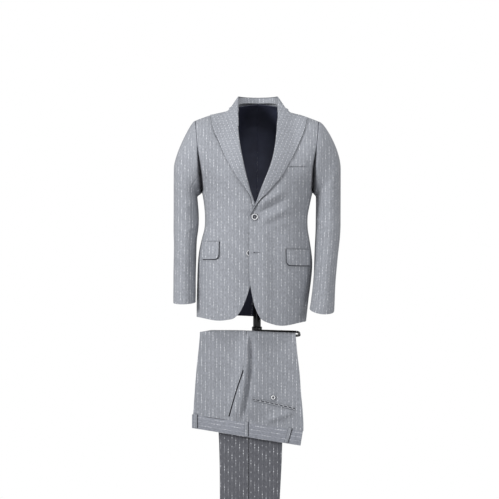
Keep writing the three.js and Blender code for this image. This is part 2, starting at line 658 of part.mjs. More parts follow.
// ---- collar ----
const FALL_BULGE = 3;          // how far the fall stands off a straight line between its edges
const FALL_COLUMNS = [0, 0.2, 0.5, 0.8, 1];
const COLLAR_STEP = 0.5;
const COLLAR_MIDDLE_Y = 10;    // the collar leans outwards from here
const FALL_SLOPE = 40;
const CLEAR_X = [62, 74];      // from inside the neckline to where the shoulders carry the fall
const CLEAR_Y = [3, 13];       // from the shoulder line to the front and back
const STAND_END = 4;           // the stand stops at this row of the collar
const STAND_COLUMNS = [0.1, 0.5, 0.86];
const STAND_INSIDE = 1.1;      // the stand lies this far inside the roll line

function collarRow(at) {
  const row = {};
  for (const column of Object.keys(COLLAR[0])) {
    const numbered = COLLAR.map((entry, index) => ({ index, value: entry[column] }));
    row[column] = lookup(numbered, 'index', 'value', Math.abs(at));
  }
  const hand = at < 0 ? -1 : 1;
  const point = (key) => [NECK_X + hand * row[`${key}X`], row[`${key}Y`], row[`${key}Z`]];
  return { roll: point('roll'), edge: point('edge'), seam: point('seam') };
}

// keeps a point outside the body by at least the lift
function clearOfBody([x, y, from], lift) {
  const out = x - bodyRow(from).centre;
  const ridge = shoulderZ(out) + lift * smoothstep(Math.abs(out), ...CLEAR_X);
  const over = 1 - smoothstep(Math.abs(y - SPINE_Y), ...CLEAR_Y);
  const z = Math.max(from, lerp(from, ridge, over));
  if (z >= shoulderZ(out)) return [x, y, Math.max(z, ridge)];
  if (y < SPINE_Y) return [x, Math.min(y, frontAt(x, z, lift)[1]), z];
  return [x, Math.max(y, backAt(x, z, lift)[1]), z];
}

const GORGE_ROW = COLLAR.length - 1;
const COLLAR_ROWS = range((2 * GORGE_ROW) / COLLAR_STEP + 1).map((i) => i * COLLAR_STEP - GORGE_ROW);

function gorgePoint(hand, share, lift) {
  const table = hand < 0 ? RIGHT_LAPEL : LEFT_LAPEL;
  const notch = hand < 0 ? RIGHT_NOTCH : LEFT_NOTCH;
  const top = table[table.length - 1];
  const x = lerp(top.rollX, notch.x, share);
  const z = lerp(top.rollZ, notch.z, share) + 2 * SEAM;
  return frontAt(x, z, lapelLift(share * NOTCH_AT) + lift);
}

function collarFall() {
  const sheet = (lift) => COLLAR_ROWS.map((at) => FALL_COLUMNS.map((share) => {
    if (Math.abs(at) === GORGE_ROW) return gorgePoint(Math.sign(at), share, lift);
    const { roll, edge } = collarRow(at);
    const outward = unit([roll[0] - NECK_X, roll[1] - COLLAR_MIDDLE_Y, FALL_SLOPE]);
    const bulged = plus(mix(roll, edge, share), outward, FALL_BULGE * Math.sin(Math.PI * share) + lift);
    return clearOfBody(bulged, LAPEL_LIFT + lift);
  }));
  return solidBetween(sheet(0), sheet(-BODY_CLOTH));
}

function collarStand() {
  const rows = COLLAR_ROWS.filter((at) => Math.abs(at) <= STAND_END);
  const sheet = (lift) => rows.map((at) => STAND_COLUMNS.map((share) => {
    const { roll, seam } = collarRow(at);
    const outward = unit([roll[0] - NECK_X, roll[1] - COLLAR_MIDDLE_Y, 0]);
    return plus(mix(seam, roll, share), outward, lift - STAND_INSIDE);
  }));
  return solidBetween(sheet(0), sheet(-BODY_CLOTH));
}

// ---- sleeves ----
function armholePoint(hand, turn) {
  const z = lerp(ARMPIT_Z, SHOULDER_Z, (1 + Math.cos(turn)) / 2);
  const x = bodyRow(z).centre + hand * armholeReach(hand, z);
  const edge = Math.sin(turn) >= 0 ? frontAt(x, z) : backAt(x, z);
  return [x + hand * SLEEVE_STEP, edge[1], edge[2]];
}

function sleeveRing(table, at, turn) {
  const numbered = (column) => table.map((entry, index) => ({ index, value: entry[column] }));
  const value = (column) => lookup(numbered(column), 'index', 'value', at);
  const outer = value('outer');
  const inner = value('inner');
  const x = (outer + inner) / 2 + ((outer - inner) / 2) * Math.cos(turn);
  const y = value('middleY') - value('depth') * Math.sin(turn);
  const tilt = value('tilt');
  const rise = CAP_RISE * ((1 + Math.cos(turn)) / 2) * (1 - clamp(at, 0, 1));
  const lean = Math.abs(tilt) * (y - value('middleY') - TILT_HALF * Math.cos(turn));
  return [x, y, value('z') + rise + lean];
}

// turn: 0 at the top and outer side, a quarter turn at the front
function sleevePoint(hand, table, turn, along) {
  if (along >= 1) return sleeveRing(table, along - 1, turn);
  const word = hand < 0 ? 'right' : 'left';
  const start = armholePoint(hand, turn);
  const end = sleeveRing(table, 0, turn);
  const high = (1 + Math.cos(turn)) / 2;
  const across = hand * lerp(0.55, 1, high);
  const outward = unit([across, -0.35 * Math.sin(turn), lerp(-0.7, 0.05, high)]);
  const first = plus(start, outward, lerp(UNDER_OUT, CAP_OUT[word], high));
  const second = plus(end, [0, 0, 1], lerp(UNDER_DROP, CAP_DROP[word], high));
  const left = 1 - along;
  const weights = [left ** 3, 3 * left * left * along, 3 * left * along * along, along ** 3];
  const controls = [start, first, second, end];
  return [0, 1, 2].map((k) => controls.reduce((sum, point, i) => sum + weights[i] * point[k], 0));
}

function sleeveInner(hand, table, turn, along, cloth) {
  const point = sleevePoint(hand, table, turn, along);
  const near = (round, down) => sleevePoint(hand, table, turn + round, Math.max(along + down, 0));
  const down = minus(near(0, 0.01), near(0, -0.01));
  const round = minus(near(0.05, 0), near(-0.05, 0));
  let normal = unit(cross(round, down));
  const middle = table[Math.min(Math.max(Math.round(along) - 1, 0), table.length - 1)];
  const centre = [(middle.outer + middle.inner) / 2, middle.middleY, point[2] - 20];
  const inwards = minus(centre, point);
  const facing = normal.reduce((sum, n, k) => sum + n * inwards[k], 0);
  if (facing < 0) normal = normal.map((n) => -n);
  return plus(point, normal, cloth);
}

const SLEEVE_ROWS = [0, 0.12, 0.3, 0.5, 0.75, 1, 2, 3, 4, 5, 6, 7, 8];
const SLEEVE_SEAM_TURN = 0.0022;
function sleevePart(hand, table, from, to, columns) {
  const turns = range(columns + 1).map((j) => degToRad(lerp(from, to, j / columns)));
  turns[0] += SLEEVE_SEAM_TURN;
  turns[columns] -= SLEEVE_SEAM_TURN;
  const outer = SLEEVE_ROWS.map((along) => turns.map((turn) => sleevePoint(hand, table, turn, along)));
  const lining = (turn, along) => sleeveInner(hand, table, turn, along, SLEEVE_CLOTH);
  const inner = SLEEVE_ROWS.map((along) => turns.map((turn) => lining(turn, along)));
  return solidBetween(outer, inner);
}

// ---- flat pieces that lie on a front ----
function patch(columns, rows, place, lift, cloth) {
  const sheet = (height) => range(rows + 1).map((i) => range(columns + 1).map((j) => {
    const at = place(j / columns, i / rows);
    return frontAt(at.x, at.z, height);
  }));
  return solidBetween(sheet(lift + cloth), sheet(lift));
}

function flap(pocket) {
  return patch(5, 3, (across, down) => {
    const x = lerp(pocket.near, pocket.far, across);
    const corner = Math.max(0, 1 - across / FLAP_CORNER.share) ** 2 * FLAP_CORNER.high;
    const z = pocket.z + pocket.slope * (x - pocket.near) - down * (pocket.high - corner);
    return { x, z };
  }, FLAP_LIFT, FLAP_CLOTH);
}

function jet(pocket) {
  return patch(5, 1, (across, down) => {
    const x = lerp(pocket.near, pocket.far, across);
    return { x, z: pocket.z + pocket.slope * (x - pocket.near) + SEAM + JET_HIGH * (1 - down) };
  }, OVERLAY, JET_CLOTH);
}

function welt() {
  return patch(4, 1, (across, down) => {
    const x = lerp(WELT.near, WELT.far, across);
    return { x, z: WELT.z + WELT.slope * (x - WELT.near) - WELT.high * down };
  }, WELT_LIFT, WELT_CLOTH);
}

// ---- buttons: a turned disc with a dished face ----
function button(size) {
  const { radius, thick, dish } = size;
  const bevel = BUTTON_BEVEL;
  const floor = thick - BUTTON_DISH_DEEP;
  const profile = [
    [0, 0], [radius - bevel, 0], [radius, bevel], [radius, thick - bevel], [radius - bevel, thick],
    [dish, thick], [dish - bevel, floor], [0, floor],
  ];
  const points = profile.map(([r, y]) => new THREE.Vector2(r, y));
  return new THREE.LatheGeometry(points, BUTTON_SIDES);
}

function placeButton(name, size, point, normal) {
  const mesh = put(name, button(size), HORN);
  mesh.quaternion.setFromUnitVectors(new THREE.Vector3(0, 1, 0), new THREE.Vector3(...normal));
  mesh.position.set(...plus(point, normal, BUTTON_STAND));
}

const suit = new THREE.Group();
function put(name, geometry, look) {
  const material = new THREE.MeshStandardMaterial(look);
  const mesh = new THREE.Mesh(geometry, material);
  mesh.name = name;
  suit.add(mesh);
  return mesh;
}

for (const [hand, word] of [[-1, 'right'], [1, 'left']]) {
  put(`front_${word}`, front(hand), CLOTH);
  put(`side_${word}`, side(hand), CLOTH);
  put(`back_${word}`, back(hand), CLOTH);
  put(`lapel_${word}`, lapel(hand), LAPEL_CLOTH);
  const table = hand < 0 ? RIGHT_SLEEVE : LEFT_SLEEVE;
  const sleeve = (from, to, columns) => sleevePart(hand, table, from, to, columns);
  const top = sleeve(SLEEVE_BACK_SEAM, SLEEVE_FRONT_SEAM, TOP_SLEEVE_COLUMNS);
  const under = sleeve(SLEEVE_FRONT_SEAM, 360 + SLEEVE_BACK_SEAM, UNDER_SLEEVE_COLUMNS);
  put(`sleeve_${word}_top`, top, CLOTH);
  put(`sleeve_${word}_under`, under, SHADE_CLOTH);
  const pocket = hand < 0 ? RIGHT_FLAP : LEFT_FLAP;
  put(`pocket_flap_${word}`, flap(pocket), CLOTH);
  put(`pocket_jet_${word}`, jet(pocket), SHADE_CLOTH);
}
put('collar_fall', collarFall(), LAPEL_CLOTH);
put('collar_stand', collarStand(), SHADE_CLOTH);
put('breast_welt', welt(), CLOTH);

function frontButton(name, { x, z, lift }) {
  placeButton(name, FRONT_BUTTON, frontAt(x, z, lift), bodyNormal(angleAt(-1, x, z), z));
}
frontButton('front_button_1', FRONT_BUTTON_1);
frontButton('front_button_2', FRONT_BUTTON_2);

// ---- buttons of a cuff, in a row beside the outer sleeve seam ----
const CUFF_BUTTON_TURN = SLEEVE_BACK_SEAM + (SLEEVE_FRONT_SEAM - SLEEVE_BACK_SEAM) / TOP_SLEEVE_COLUMNS;
for (const [word, table, hand] of [['right', RIGHT_SLEEVE, -1], ['left', LEFT_SLEEVE, 1]]) {
  const last = table.length;
  const turn = degToRad(CUFF_BUTTON_TURN);
  const at = (along, round = 0) => sleevePoint(hand, table, turn + round, along);
  const rowHigh = Math.hypot(...minus(at(last - 1), at(last)));
  for (const index of range(CUFF_BUTTONS)) {
    const along = last - (CUFF_BUTTON_FIRST + index * CUFF_BUTTON_STEP) / rowHigh;
    const round = minus(at(along, 0.05), at(along, -0.05));
    const up = minus(at(along - 0.05), at(along + 0.05));
    const normal = unit(cross(up, round).map((n) => n * hand));
    placeButton(`cuff_button_${word}_${index + 1}`, CUFF_BUTTON, at(along), normal);
  }
}

// ---- trousers ----
const folds = (x, z) => foldsAt(HANG_FOLDS, HANG_FADE, x, z);

// a point of the draped trousers: across at x, at a distance from the rod's axis
// station: { z } in front, { turn } over the rod, { z, behind } behind
function drape(x, reach, station) {
  const axisZ = ROD_Z + ROD_SLOPE * x;
  const sag = SAG.deep * smoothstep(-x, SAG.from, SAG.to);
  const crown = CROWN.high * Math.exp(-(((x - CROWN.x) / CROWN.half) ** 2));
  if (station.turn !== undefined) {
    const turn = degToRad(station.turn);
    const high = Math.sin(turn) * (reach + crown) - sag;
    return [x, ROD_Y - reach * Math.cos(turn), axisZ + high];
  }
  const side = station.behind ? 1 : -1;
  return [x, ROD_Y + side * reach, station.z - sag * smoothstep(station.z, SAG.endZ, SAG.topZ)];
}

const waistSeamZ = (x) => WAIST_Z + WAIST_SLOPE * x;
const bandEdgeZ = (x) => BAND_Z + BAND_SLOPE * x;

const STATIONS = [
  ...HANG_LEVELS.map((level) => ({ level })),
  ...ROD_TURNS.map((turn) => ({ turn })),
  ...LEG_LEVELS.map((z) => ({ z, behind: true })),
];

// one panel of a leg: outer half from the side seam to the crease, round it, and the inner half
function legPanel(legName, part) {
  const leg = LEGS[legName];
  const fold = Math.sign(leg.outer - leg.inner);
  const radius = Math.abs(leg.outer - leg.inner) / 2;
  const middle = (leg.outer + leg.inner) / 2;
  const hand = part === 'front' ? -1 : 1;
  const shares = part === 'front' ? [0, 0.12, 0.3, 0.71] : [0, 0.12, 0.26, 0.6];
  const sheet = (lift) => STATIONS.map((station) => {
    const table = station.behind ? BACK_HANG : FRONT_HANG;
    const roughZ = station.z ?? lerp(WAIST_Z, ROD_Z, station.level ?? 1);
    const seam = lookup(table, 'z', 'seam', roughZ);
    const far = lookup(table, 'z', hand < 0 ? 'crease' : 'seat', roughZ);
    const edge = far - hand * (radius + TROUSER_CLOTH / 2);
    const open = station.level === undefined ? 1 : smoothstep(roughZ, CROTCH_FROM, CROTCH_TO);
    const near = seam + (hand * SEAM) / 2;
    const outerAt = (share) => ({ x: lerp(near, edge, share), reach: leg.outer, n: [0, fold] });
    const points = shares.map(outerAt);
    for (const turn of [90, 0, -90]) {
      const c = Math.cos(degToRad(turn));
      const s = Math.sin(degToRad(turn));
      const reach = middle + fold * radius * s;
      points.push({ x: edge + hand * radius * c, reach, n: [hand * c, fold * s] });
    }
    for (const share of [0.29, 0.64, 1]) {
      const end = lerp(edge - hand * 4, near, open);
      points.push({ x: lerp(edge, end, share), reach: leg.inner, n: [0, -fold] });
    }
    return points.map(({ x, reach, n }) => {
      const px = x + n[0] * lift;
      const level = station.level;
      const z = level === undefined ? station.z : lerp(waistSeamZ(px) + SEAM, ROD_Z + ROD_SLOPE * px, level);
      const shaped = legName === 'near' && reach > middle && level !== undefined ? folds(px, z) : 0;
      return drape(px, reach + n[1] * lift + shaped, { ...station, z });
    });
  });
  return solidBetween(sheet(TROUSER_CLOTH / 2), sheet(-TROUSER_CLOTH / 2));
}

// the waistband goes round both legs, open at the fly
function waistband() {
  const near = LEGS.near.outer + TROUSER_CLOTH / 2 + BAND_OUT - BAND_CLOTH / 2;
  const far = LEGS.far.outer - TROUSER_CLOTH / 2 - BAND_OUT + BAND_CLOTH / 2;
  const middle = (near + far) / 2;
  const radius = (near - far) / 2;
  const pathAt = (level) => {
    const bend = lerp(BAND_SEAT.top, BAND_SEAT.foot, level) - radius;
    const xs = [BAND_FLY, ...BAND_STATIONS, bend];
    return [
      ...xs.map((x) => ({ x, reach: near, n: [0, 1] })),
      ...[60, 20, -20, -60].map((turn) => {
        const c = Math.cos(degToRad(turn));
        const s = Math.sin(degToRad(turn));
        return { x: bend + radius * c, reach: middle + radius * s, n: [c, s] };
      }),
      ...xs.reverse().map((x) => ({ x, reach: far, n: [0, -1] })),
    ];
  };
  const sheet = (lift) => [0, 0.5, 1].map((level) => pathAt(level).map(({ x, reach, n }) => {
    const px = x + n[0] * lift;
    const z = lerp(waistSeamZ(px) - SEAM, bandEdgeZ(px), level);
    return drape(px, reach + n[1] * lift, { z });
  }));
  return solidBetween(sheet(BAND_CLOTH / 2), sheet(-BAND_CLOTH / 2));
}

function hangPatch(leg, columns, rows, place, lift, cloth) {
  const out = leg === 'near' ? 1 : -1;
  const base = LEGS[leg].outer + (out * TROUSER_CLOTH) / 2;
  const sheet = (height) => range(rows + 1).map((i) => range(columns + 1).map((j) => {
    const { x, z } = place(j / columns, i / rows);
    const shaped = leg === 'near' ? folds(x, z) : 0;
    return drape(x, base + out * height + shaped, { z });
  }));
  return solidBetween(sheet(lift + cloth), sheet(lift));
}

function beltLoop(loop) {
  return hangPatch(loop.leg, 1, 3, (across, down) => {
    const x = loop.x + LOOP_WIDE * (across - 0.5) + loop.lean * down;
    return { x, z: lerp(waistSeamZ(x) + 4, bandEdgeZ(x) + 3, down) };
  }, LOOP_OUT, LOOP_CLOTH);
}

function slashPocket() {
  const last = SLASH_POCKET.length - 1;
  return hangPatch('near', 1, last * 2, (across, down) => {
    const at = Math.min(Math.floor(down * last), last - 1);
    const t = down * last - at;
    const x = lerp(SLASH_POCKET[at].x, SLASH_POCKET[at + 1].x, t) - POCKET_EDGE.wide * across;
    return { x, z: lerp(SLASH_POCKET[at].z, SLASH_POCKET[at + 1].z, t) };
  }, POCKET_EDGE.lift, POCKET_EDGE.cloth);
}

function backPocketJet(row) {
  return hangPatch('near', 4, 1, (across, down) => {
    const x = lerp(BACK_POCKET.near, BACK_POCKET.far, across);
    const top = BACK_POCKET.z + BACK_POCKET.slope * (x - BACK_POCKET.near);
    return { x, z: top - BACK_POCKET.pitch * row - BACK_POCKET.high * down };
  }, POCKET_EDGE.lift, POCKET_EDGE.cloth);
}

for (const leg of ['near', 'far']) {
  put(`leg_${leg}_front`, legPanel(leg, 'front'), leg === 'near' ? CLOTH : SHADE_CLOTH);
  put(`leg_${leg}_back`, legPanel(leg, 'back'), leg === 'near' ? CLOTH : SHADE_CLOTH);
}
put('waistband', waistband(), CLOTH);
for (const loop of LOOPS) put(loop.name, beltLoop(loop), CLOTH);
put('slash_pocket_edge', slashPocket(), SHADE_CLOTH);
put('back_pocket_jet_upper', backPocketJet(0), SHADE_CLOTH);
put('back_pocket_jet_lower', backPocketJet(1), SHADE_CLOTH);
const buttonReach = LEGS.near.outer + TROUSER_CLOTH / 2 + BUTTON_STAND;
placeButton('back_pocket_button', BACK_POCKET_BUTTON,
  drape(BACK_BUTTON.x, buttonReach + folds(BACK_BUTTON.x, BACK_BUTTON.z), { z: BACK_BUTTON.z }), [0, -1, 0]);

// ---- trouser rod: from the post to the right, round a bend and back to a free end ----
function rodPath() {
  const { left, right, rearY, corner } = ROD;
  const bends = [
    { x: right - corner, y: rearY - corner, from: 90 },
    { x: right - corner, y: ROD_Y + corner, from: 0 },
  ];
  const round = bends.flatMap(({ x, y, from }) => [0, 30, 60, 90].map((turn) => {
    const angle = degToRad(from - turn);
    return [x + corner * Math.cos(angle), y + corner * Math.sin(angle)];
  }));
  return [[POST.x, rearY], ...round, [left, ROD_Y]].map(([x, y]) => {
    const share = (y - ROD_Y) / (rearY - ROD_Y);
    return new THREE.Vector3(x, y, lerp(ROD_Z, ROD.rearZ, share) + ROD_SLOPE * x);
  });
}

function rod() {
  const path = rodPath();
  const sides = ROD_SIDES;
  const points = path.flatMap((point, i) => {
    const before = path[Math.max(i - 1, 0)];
    const after = path[Math.min(i + 1, path.length - 1)];
    const along = after.clone().sub(before).normalize();
    const across = new THREE.Vector3(0, 0, 1).cross(along).normalize();
    const up = along.clone().cross(across);
    return range(sides).map((k) => {
      const turn = (2 * Math.PI * k) / sides;
      const spoke = across.clone().multiplyScalar(Math.cos(turn)).addScaledVector(up, Math.sin(turn));
      return point.clone().addScaledVector(spoke, ROD_RADIUS);
    });
  });
  const faces = [];
  const last = (path.length - 1) * sides;
  for (const k of range(sides)) {
    const next = (k + 1) % sides;
    for (const i of range(path.length - 1)) {
      const start = i * sides;
      faces.push(start + k, start + next, start + sides + next);
      faces.push(start + k, start + sides + next, start + sides + k);
    }
    if (k > 0 && k < sides - 1) faces.push(0, k + 1, k, last, last + k, last + k + 1);
  }
  const geometry = new THREE.BufferGeometry().setFromPoints(points);
  geometry.setIndex(faces);
  geometry.computeVertexNormals();
  return geometry;
}

put('trouser_rod', rod(), ENAMEL);
const postHigh = POST.topZ - POST.footZ;
const tubeForm = new THREE.CylinderGeometry(POST.radius, POST.radius, postHigh, POST_SIDES);
const post = put('rod_post', tubeForm, ENAMEL);
post.rotation.x = Math.PI / 2;
post.position.set(POST.x, POST.y, POST.footZ + postHigh / 2);

function collarRing() {
  const inner = POST.radius + SEAM;
  const half = POST_COLLAR.high / 2;
  const outer = POST_COLLAR.radius;
  const profile = [[inner, -half], [outer, -half], [outer, half], [inner, half], [inner, -half]];
  return new THREE.LatheGeometry(profile.map(([r, y]) => new THREE.Vector2(r, y)), POST_SIDES);
}
const rodCollar = put('rod_collar', collarRing(), ENAMEL);
rodCollar.rotation.x = Math.PI / 2;
rodCollar.position.set(POST.x, POST.y, POST_COLLAR.z);

export default suit;
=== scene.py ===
import bpy
import numpy as np
from numpy import (
    array, clip, concatenate, cos, exp, hypot, interp, linspace, maximum, minimum, pi, radians, sin, sqrt,
)
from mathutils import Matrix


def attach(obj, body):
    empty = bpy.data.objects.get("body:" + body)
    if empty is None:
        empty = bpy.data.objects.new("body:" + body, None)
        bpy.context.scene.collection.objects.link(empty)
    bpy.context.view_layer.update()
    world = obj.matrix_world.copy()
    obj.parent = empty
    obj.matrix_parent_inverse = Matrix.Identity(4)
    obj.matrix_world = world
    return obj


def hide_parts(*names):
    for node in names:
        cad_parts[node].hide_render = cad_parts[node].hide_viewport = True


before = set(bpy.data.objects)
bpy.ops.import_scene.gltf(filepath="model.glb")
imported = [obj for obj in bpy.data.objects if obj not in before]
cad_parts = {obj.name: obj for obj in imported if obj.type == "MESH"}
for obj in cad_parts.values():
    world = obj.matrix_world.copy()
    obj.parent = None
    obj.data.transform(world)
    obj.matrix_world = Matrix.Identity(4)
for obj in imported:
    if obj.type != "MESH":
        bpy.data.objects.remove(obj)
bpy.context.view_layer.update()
MM = 0.001
FINE = 0.83   # share of the full grid density, which keeps below a million triangles

# ---- small maths


def lerp(a, b, t):
    return a + (b - a) * t


def ease(t):
    return t * t * (3 - 2 * t)


def smooth(x, low, high):
    return ease(clip((np.asarray(x, float) - low) / (high - low), 0, 1))


def window(x, low, full, fade, gone):
    """Rises from low to full and falls from fade to gone."""
    return smooth(x, low, full) * (1 - smooth(x, fade, gone))


def bell(x):
    return exp(-(x ** 2))


def straight(z0, slope):
    """A straight line's height over x."""
    return lambda x: z0 + slope * x


def unit(v):
    return v / maximum(np.linalg.norm(v, axis=-1, keepdims=True), 1e-9)


def stack(*parts):
    return np.stack(np.broadcast_arrays(*parts), axis=-1).astype(float)


def run_of(line):
    """Distance along a line of points, from its first one."""
    return concatenate([[0], np.cumsum(np.linalg.norm(np.diff(line, axis=0), axis=-1))])


def even(count, least, low=0.0, high=1.0):
    return linspace(low, high, max(int(count * FINE), least))


def steps(count, *edges):
    """0 to 1 in even steps, with close steps of the given sizes at both ends."""
    close = array(edges)
    inner, low = even(count, 3), close[-1] * 1.3
    inner = inner[(inner > low) & (inner < 1 - low)]
    return np.unique(concatenate([[0], close, inner, 1 - close, [1]]))


def grid_normals(p):
    """Unit normals of a grid of points (rows, columns, 3)."""
    return unit(np.cross(np.gradient(p, axis=1), np.gradient(p, axis=0)))


class Table:
    """Rows of numbers with named columns, looked up smoothly by the first column."""

    def __init__(self, names, *rows):
        data = array(rows, float)
        if data[0, 0] > data[-1, 0]:
            data = data[::-1]
        self.key = data[:, 0]
        self.columns = dict(zip(names.split(), data.T))

    def __call__(self, column, at):
        k, v = self.key, self.columns[column]
        i = np.arange(len(k))
        low, high = maximum(i - 1, 0), minimum(i + 1, len(k) - 1)
        slope = (v[high] - v[low]) / (k[high] - k[low])
        at = np.asarray(at, float)
        i = clip(np.searchsorted(k, at) - 1, 0, len(k) - 2)
        span = k[i + 1] - k[i]
        t = clip((at - k[i]) / span, 0, 1)
        bend = slope[i] * span * t * (1 - t) ** 2 - slope[i + 1] * span * t * t * (1 - t)
        return lerp(v[i], v[i + 1], ease(t)) + bend


def indexed(names, *rows):
    return Table("row " + names, *[(i, *row) for i, row in enumerate(rows)])


def along_path(x, z, x0, z0, x1, z1):
    """Share along the line between two points, and the distance from it."""
    dx, dz = x1 - x0, z1 - z0
    length = hypot(dx, dz)
    return ((x - x0) * dx + (z - z0) * dz) / length ** 2, ((x - x0) * dz - (z - z0) * dx) / length


def ridge(x, z, x0, z0, x1, z1, width, height, bow=0.0):
    """A soft ridge (or trough) between two points that fades at both ends; bow bends it."""
    share, off = along_path(x, z, x0, z0, x1, z1)
    off = off - bow * 4 * share * (1 - share)
    return height * window(share, 0, 0.25, 0.55, 1) * bell(off / width)


def folds(x, z, table, *fade):
    """The sum of straight folds, each with its two ends, width and height."""
    total = 0.0
    for *ends, width, height in table:
        share, off = along_path(x, z, *ends)
        total = total + height * window(share, *fade) * bell(off / width)
    return total

# ---- sizes of the jacket

HANDS = {-1: "right", 1: "left"}       # the wearer's; tables by hand have -1 for the right
BODY_CLOTH, SLEEVE_CLOTH, TROUSER_CLOTH, TRIM_CLOTH = 1.7, 1.4, 1.2, 1.5
SEAM = 0.05                            # the pieces all but meet at their seams
SIDE_POWER, DEPTH_POWER = 2.4, 2.2     # how square the body's sections are
SPINE_Y = 4
BODY = Table(
    "z centre half front back",
    (40, 5, 290, 126, 104), (-50, 5, 276, 130, 108), (-110, 5, 265, 131, 111), (-150, 4.5, 255, 131, 112),
    (-190, 4, 235, 131, 111), (-230, 3.5, 210, 130, 108), (-260, 3, 194, 128, 105),
    (-286, 2.7, 184, 126, 101), (-325, 1.5, 176, 123, 95), (-363, -0.7, 171, 120, 90),
    (-403, -1.5, 172, 119, 89), (-443, -3.3, 180, 121, 95), (-483, -4.3, 187, 123, 104),
    (-523, -5, 190.5, 124, 111), (-583, -8.5, 189.5, 124, 118), (-643, -13, 186, 124, 121),
    (-720, -18, 182, 124, 123),
)
SHOULDER = Table(
    "out z", (0, 20), (40, 15), (75, 0), (90, -8), (106, -15), (125, -20), (146, -25), (172, -34), (198, -44),
    (221, -54), (245, -64),
)
SHOULDER_LEAN = 0.014                  # the wearer's left shoulder is a little lower
CHEST_RISE, BLADE_RISE = 220, 190
NECK_HALF, NAPE_Z = 75, 14
ARMPIT_Z, ARMPIT_REACH = -286, 184
SHOULDER_Z, SHOULDER_REACH = -50, 208
ARMHOLE_IN = {-1: 0, 1: 7}             # the left armhole is cut further in
SIDE_SEAM = {-1: -22, 1: 38}           # degrees round, at the front and at the back
HEM_Z, HEM_REACH = -705, 170
hem_z = straight(HEM_Z, -0.044)
FRONT_HEM_SAG = {-1: 6, 1: 8}
TUCK_DEPTH = 46
SEAM_LEVELS = [0, 0.045, 0.1, 0.17, 0.25, 0.34, 0.44, 0.54, 0.64, 0.75, 0.86, 0.93, 1]
ARMHOLE_LEVELS = [0.17, 0.34, 0.5, 0.66, 0.8, 0.91, 1]
LOWER = len(SEAM_LEVELS) - 1
TOP_ROW = LOWER + len(ARMHOLE_LEVELS)
LEVELS = np.arange(TOP_ROW + 1)
FRONT_EDGE = {
    -1: indexed(
        "x z", (-102, -703), (-75, -697), (-55, -677), (-40, -647), (-28, -614), (-17, -573), (-7, -525),
        (1, -475), (8, -420), (13, -368), (-5, -325), (-18, -290), (-29, -250), (-40, -205),
        (-48, -165), (-55, -125), (-60, -88), (-64, -55), (-67, -25), (-70, 8),
    ),
    1: indexed(
        "x z", (60, -718.5), (23, -705), (8, -690), (-6, -659), (-14, -627), (-20, -592), (-25, -550),
        (-25, -490), (-25, -430), (-25, -372), (-3, -325), (10, -287), (25, -250), (43, -205),
        (54, -165), (61, -125), (65, -88), (68, -55), (73, -25), (80, 8),
    ),
}
DART = {-1: (-112, -330, -455), 1: (109, -336, -466)}      # x, top and end
LAPELS = {
    -1: indexed(
        "rollX rollZ edgeX edgeZ", (-4, -330, -13, -334), (-17, -296, -22, -300), (-27, -260, -54, -253),
        (-35, -226, -80, -212), (-43, -190, -100, -177), (-50, -155, -123, -126), (-55, -120, -142, -85),
        (-59, -75, -153, -32),
    ),
    1: indexed(
        "rollX rollZ edgeX edgeZ", (-23, -362, -25, -364), (-3, -325, 3, -327), (13, -282, 46, -277),
        (28, -243, 80, -236), (42, -206, 106, -191), (53, -168, 133, -142), (60, -125, 155, -90),
        (65, -82, 167, -41),
    ),
}
LAPEL_TOP = 7
NOTCH, NOTCH_AT = {-1: (-126, -29), 1: (141, -38)}, 0.72
LAPEL_LIFT, ROLL_LIFT, LAPEL_BULGE = 5, 3, 1.6
LAPEL_ROLL = (1.6, 4.0)                # radius of the roll, where the lapel is narrow and wide
COLLAR = indexed(
    "rollX rollY rollZ edgeX edgeY edgeZ seamX seamY seamZ",
    (0, 75, 41, 0, 86, -4, 0, 59, 16), (36, 66, 41, 42, 77, -3, 33, 50, 16),
    (57, 45, 40, 69, 53, -5, 56, 30, 12), (67, 14, 36, 82, 16, -2, 66, 6, 6),
    (69, -8, 18, 98, -9, -14, 68, -8, -4), (68, -36, -22, 116, -16, -24, 66, -30, -29),
    (64, -66, -73, 131, -14, -31, 62, -60, -75),
)
COLLAR_TOP, STAND_TOP = 6, 4.8
COLLAR_MIDDLE = array([5.0, 10.0, 0.0])
FALL_BULGE, FALL_ROLL, STAND_IN = 3, 1.6, 2.3
LEVEL_ONLY, UP = array([1, 1, 0]), array([0, 0, 1])
SLEEVES = {
    -1: indexed(
        "z outer inner middleY depth tilt", (-300, -275, -197, 6, 68, 0), (-350, -276, -193, 5, 66, 0),
        (-400, -276, -193.5, 2, 63, 0), (-450, -275, -199, -3, 60, 0), (-510, -275, -200.5, -12, 57, 0),
        (-570, -275, -201, -22, 53, -0.02), (-620, -275, -201, -29, 51, -0.05),
        (-649, -274.5, -201, -33, 50, -0.08),
    ),
    1: indexed(
        "z outer inner middleY depth tilt", (-300, 280, 198, 6, 68, 0), (-350, 280, 198, 3, 66, 0),
        (-400, 279, 197, -4, 63, 0), (-450, 275, 194, -14, 60, -0.03), (-510, 267, 191, -30, 57, -0.08),
        (-570, 260, 187, -47, 53, -0.14), (-630, 256, 180, -62, 51, -0.2), (-671, 253, 173, -71, 50, -0.24),
    ),
}
SLEEVE_END = 8
SLEEVE_STEP = 1.1                      # between the sleeve head and the panels
CAP_OUT, CAP_DROP = {-1: 15, 1: 22}, {-1: 44, 1: 62}
CAP_RISE = 95                          # the outer side of the head ends this much above the armpit
SLEEVE_FRONT_SEAM, SLEEVE_BACK_SEAM = 122, -78
SLEEVE_MIDDLE, SLEEVE_HALF = 238, (40, 60)       # half of its width and depth, for the stripes
SLEEVE_GAP, SIDE_GAP = 0.13, 0.08      # degrees left open beside a seam
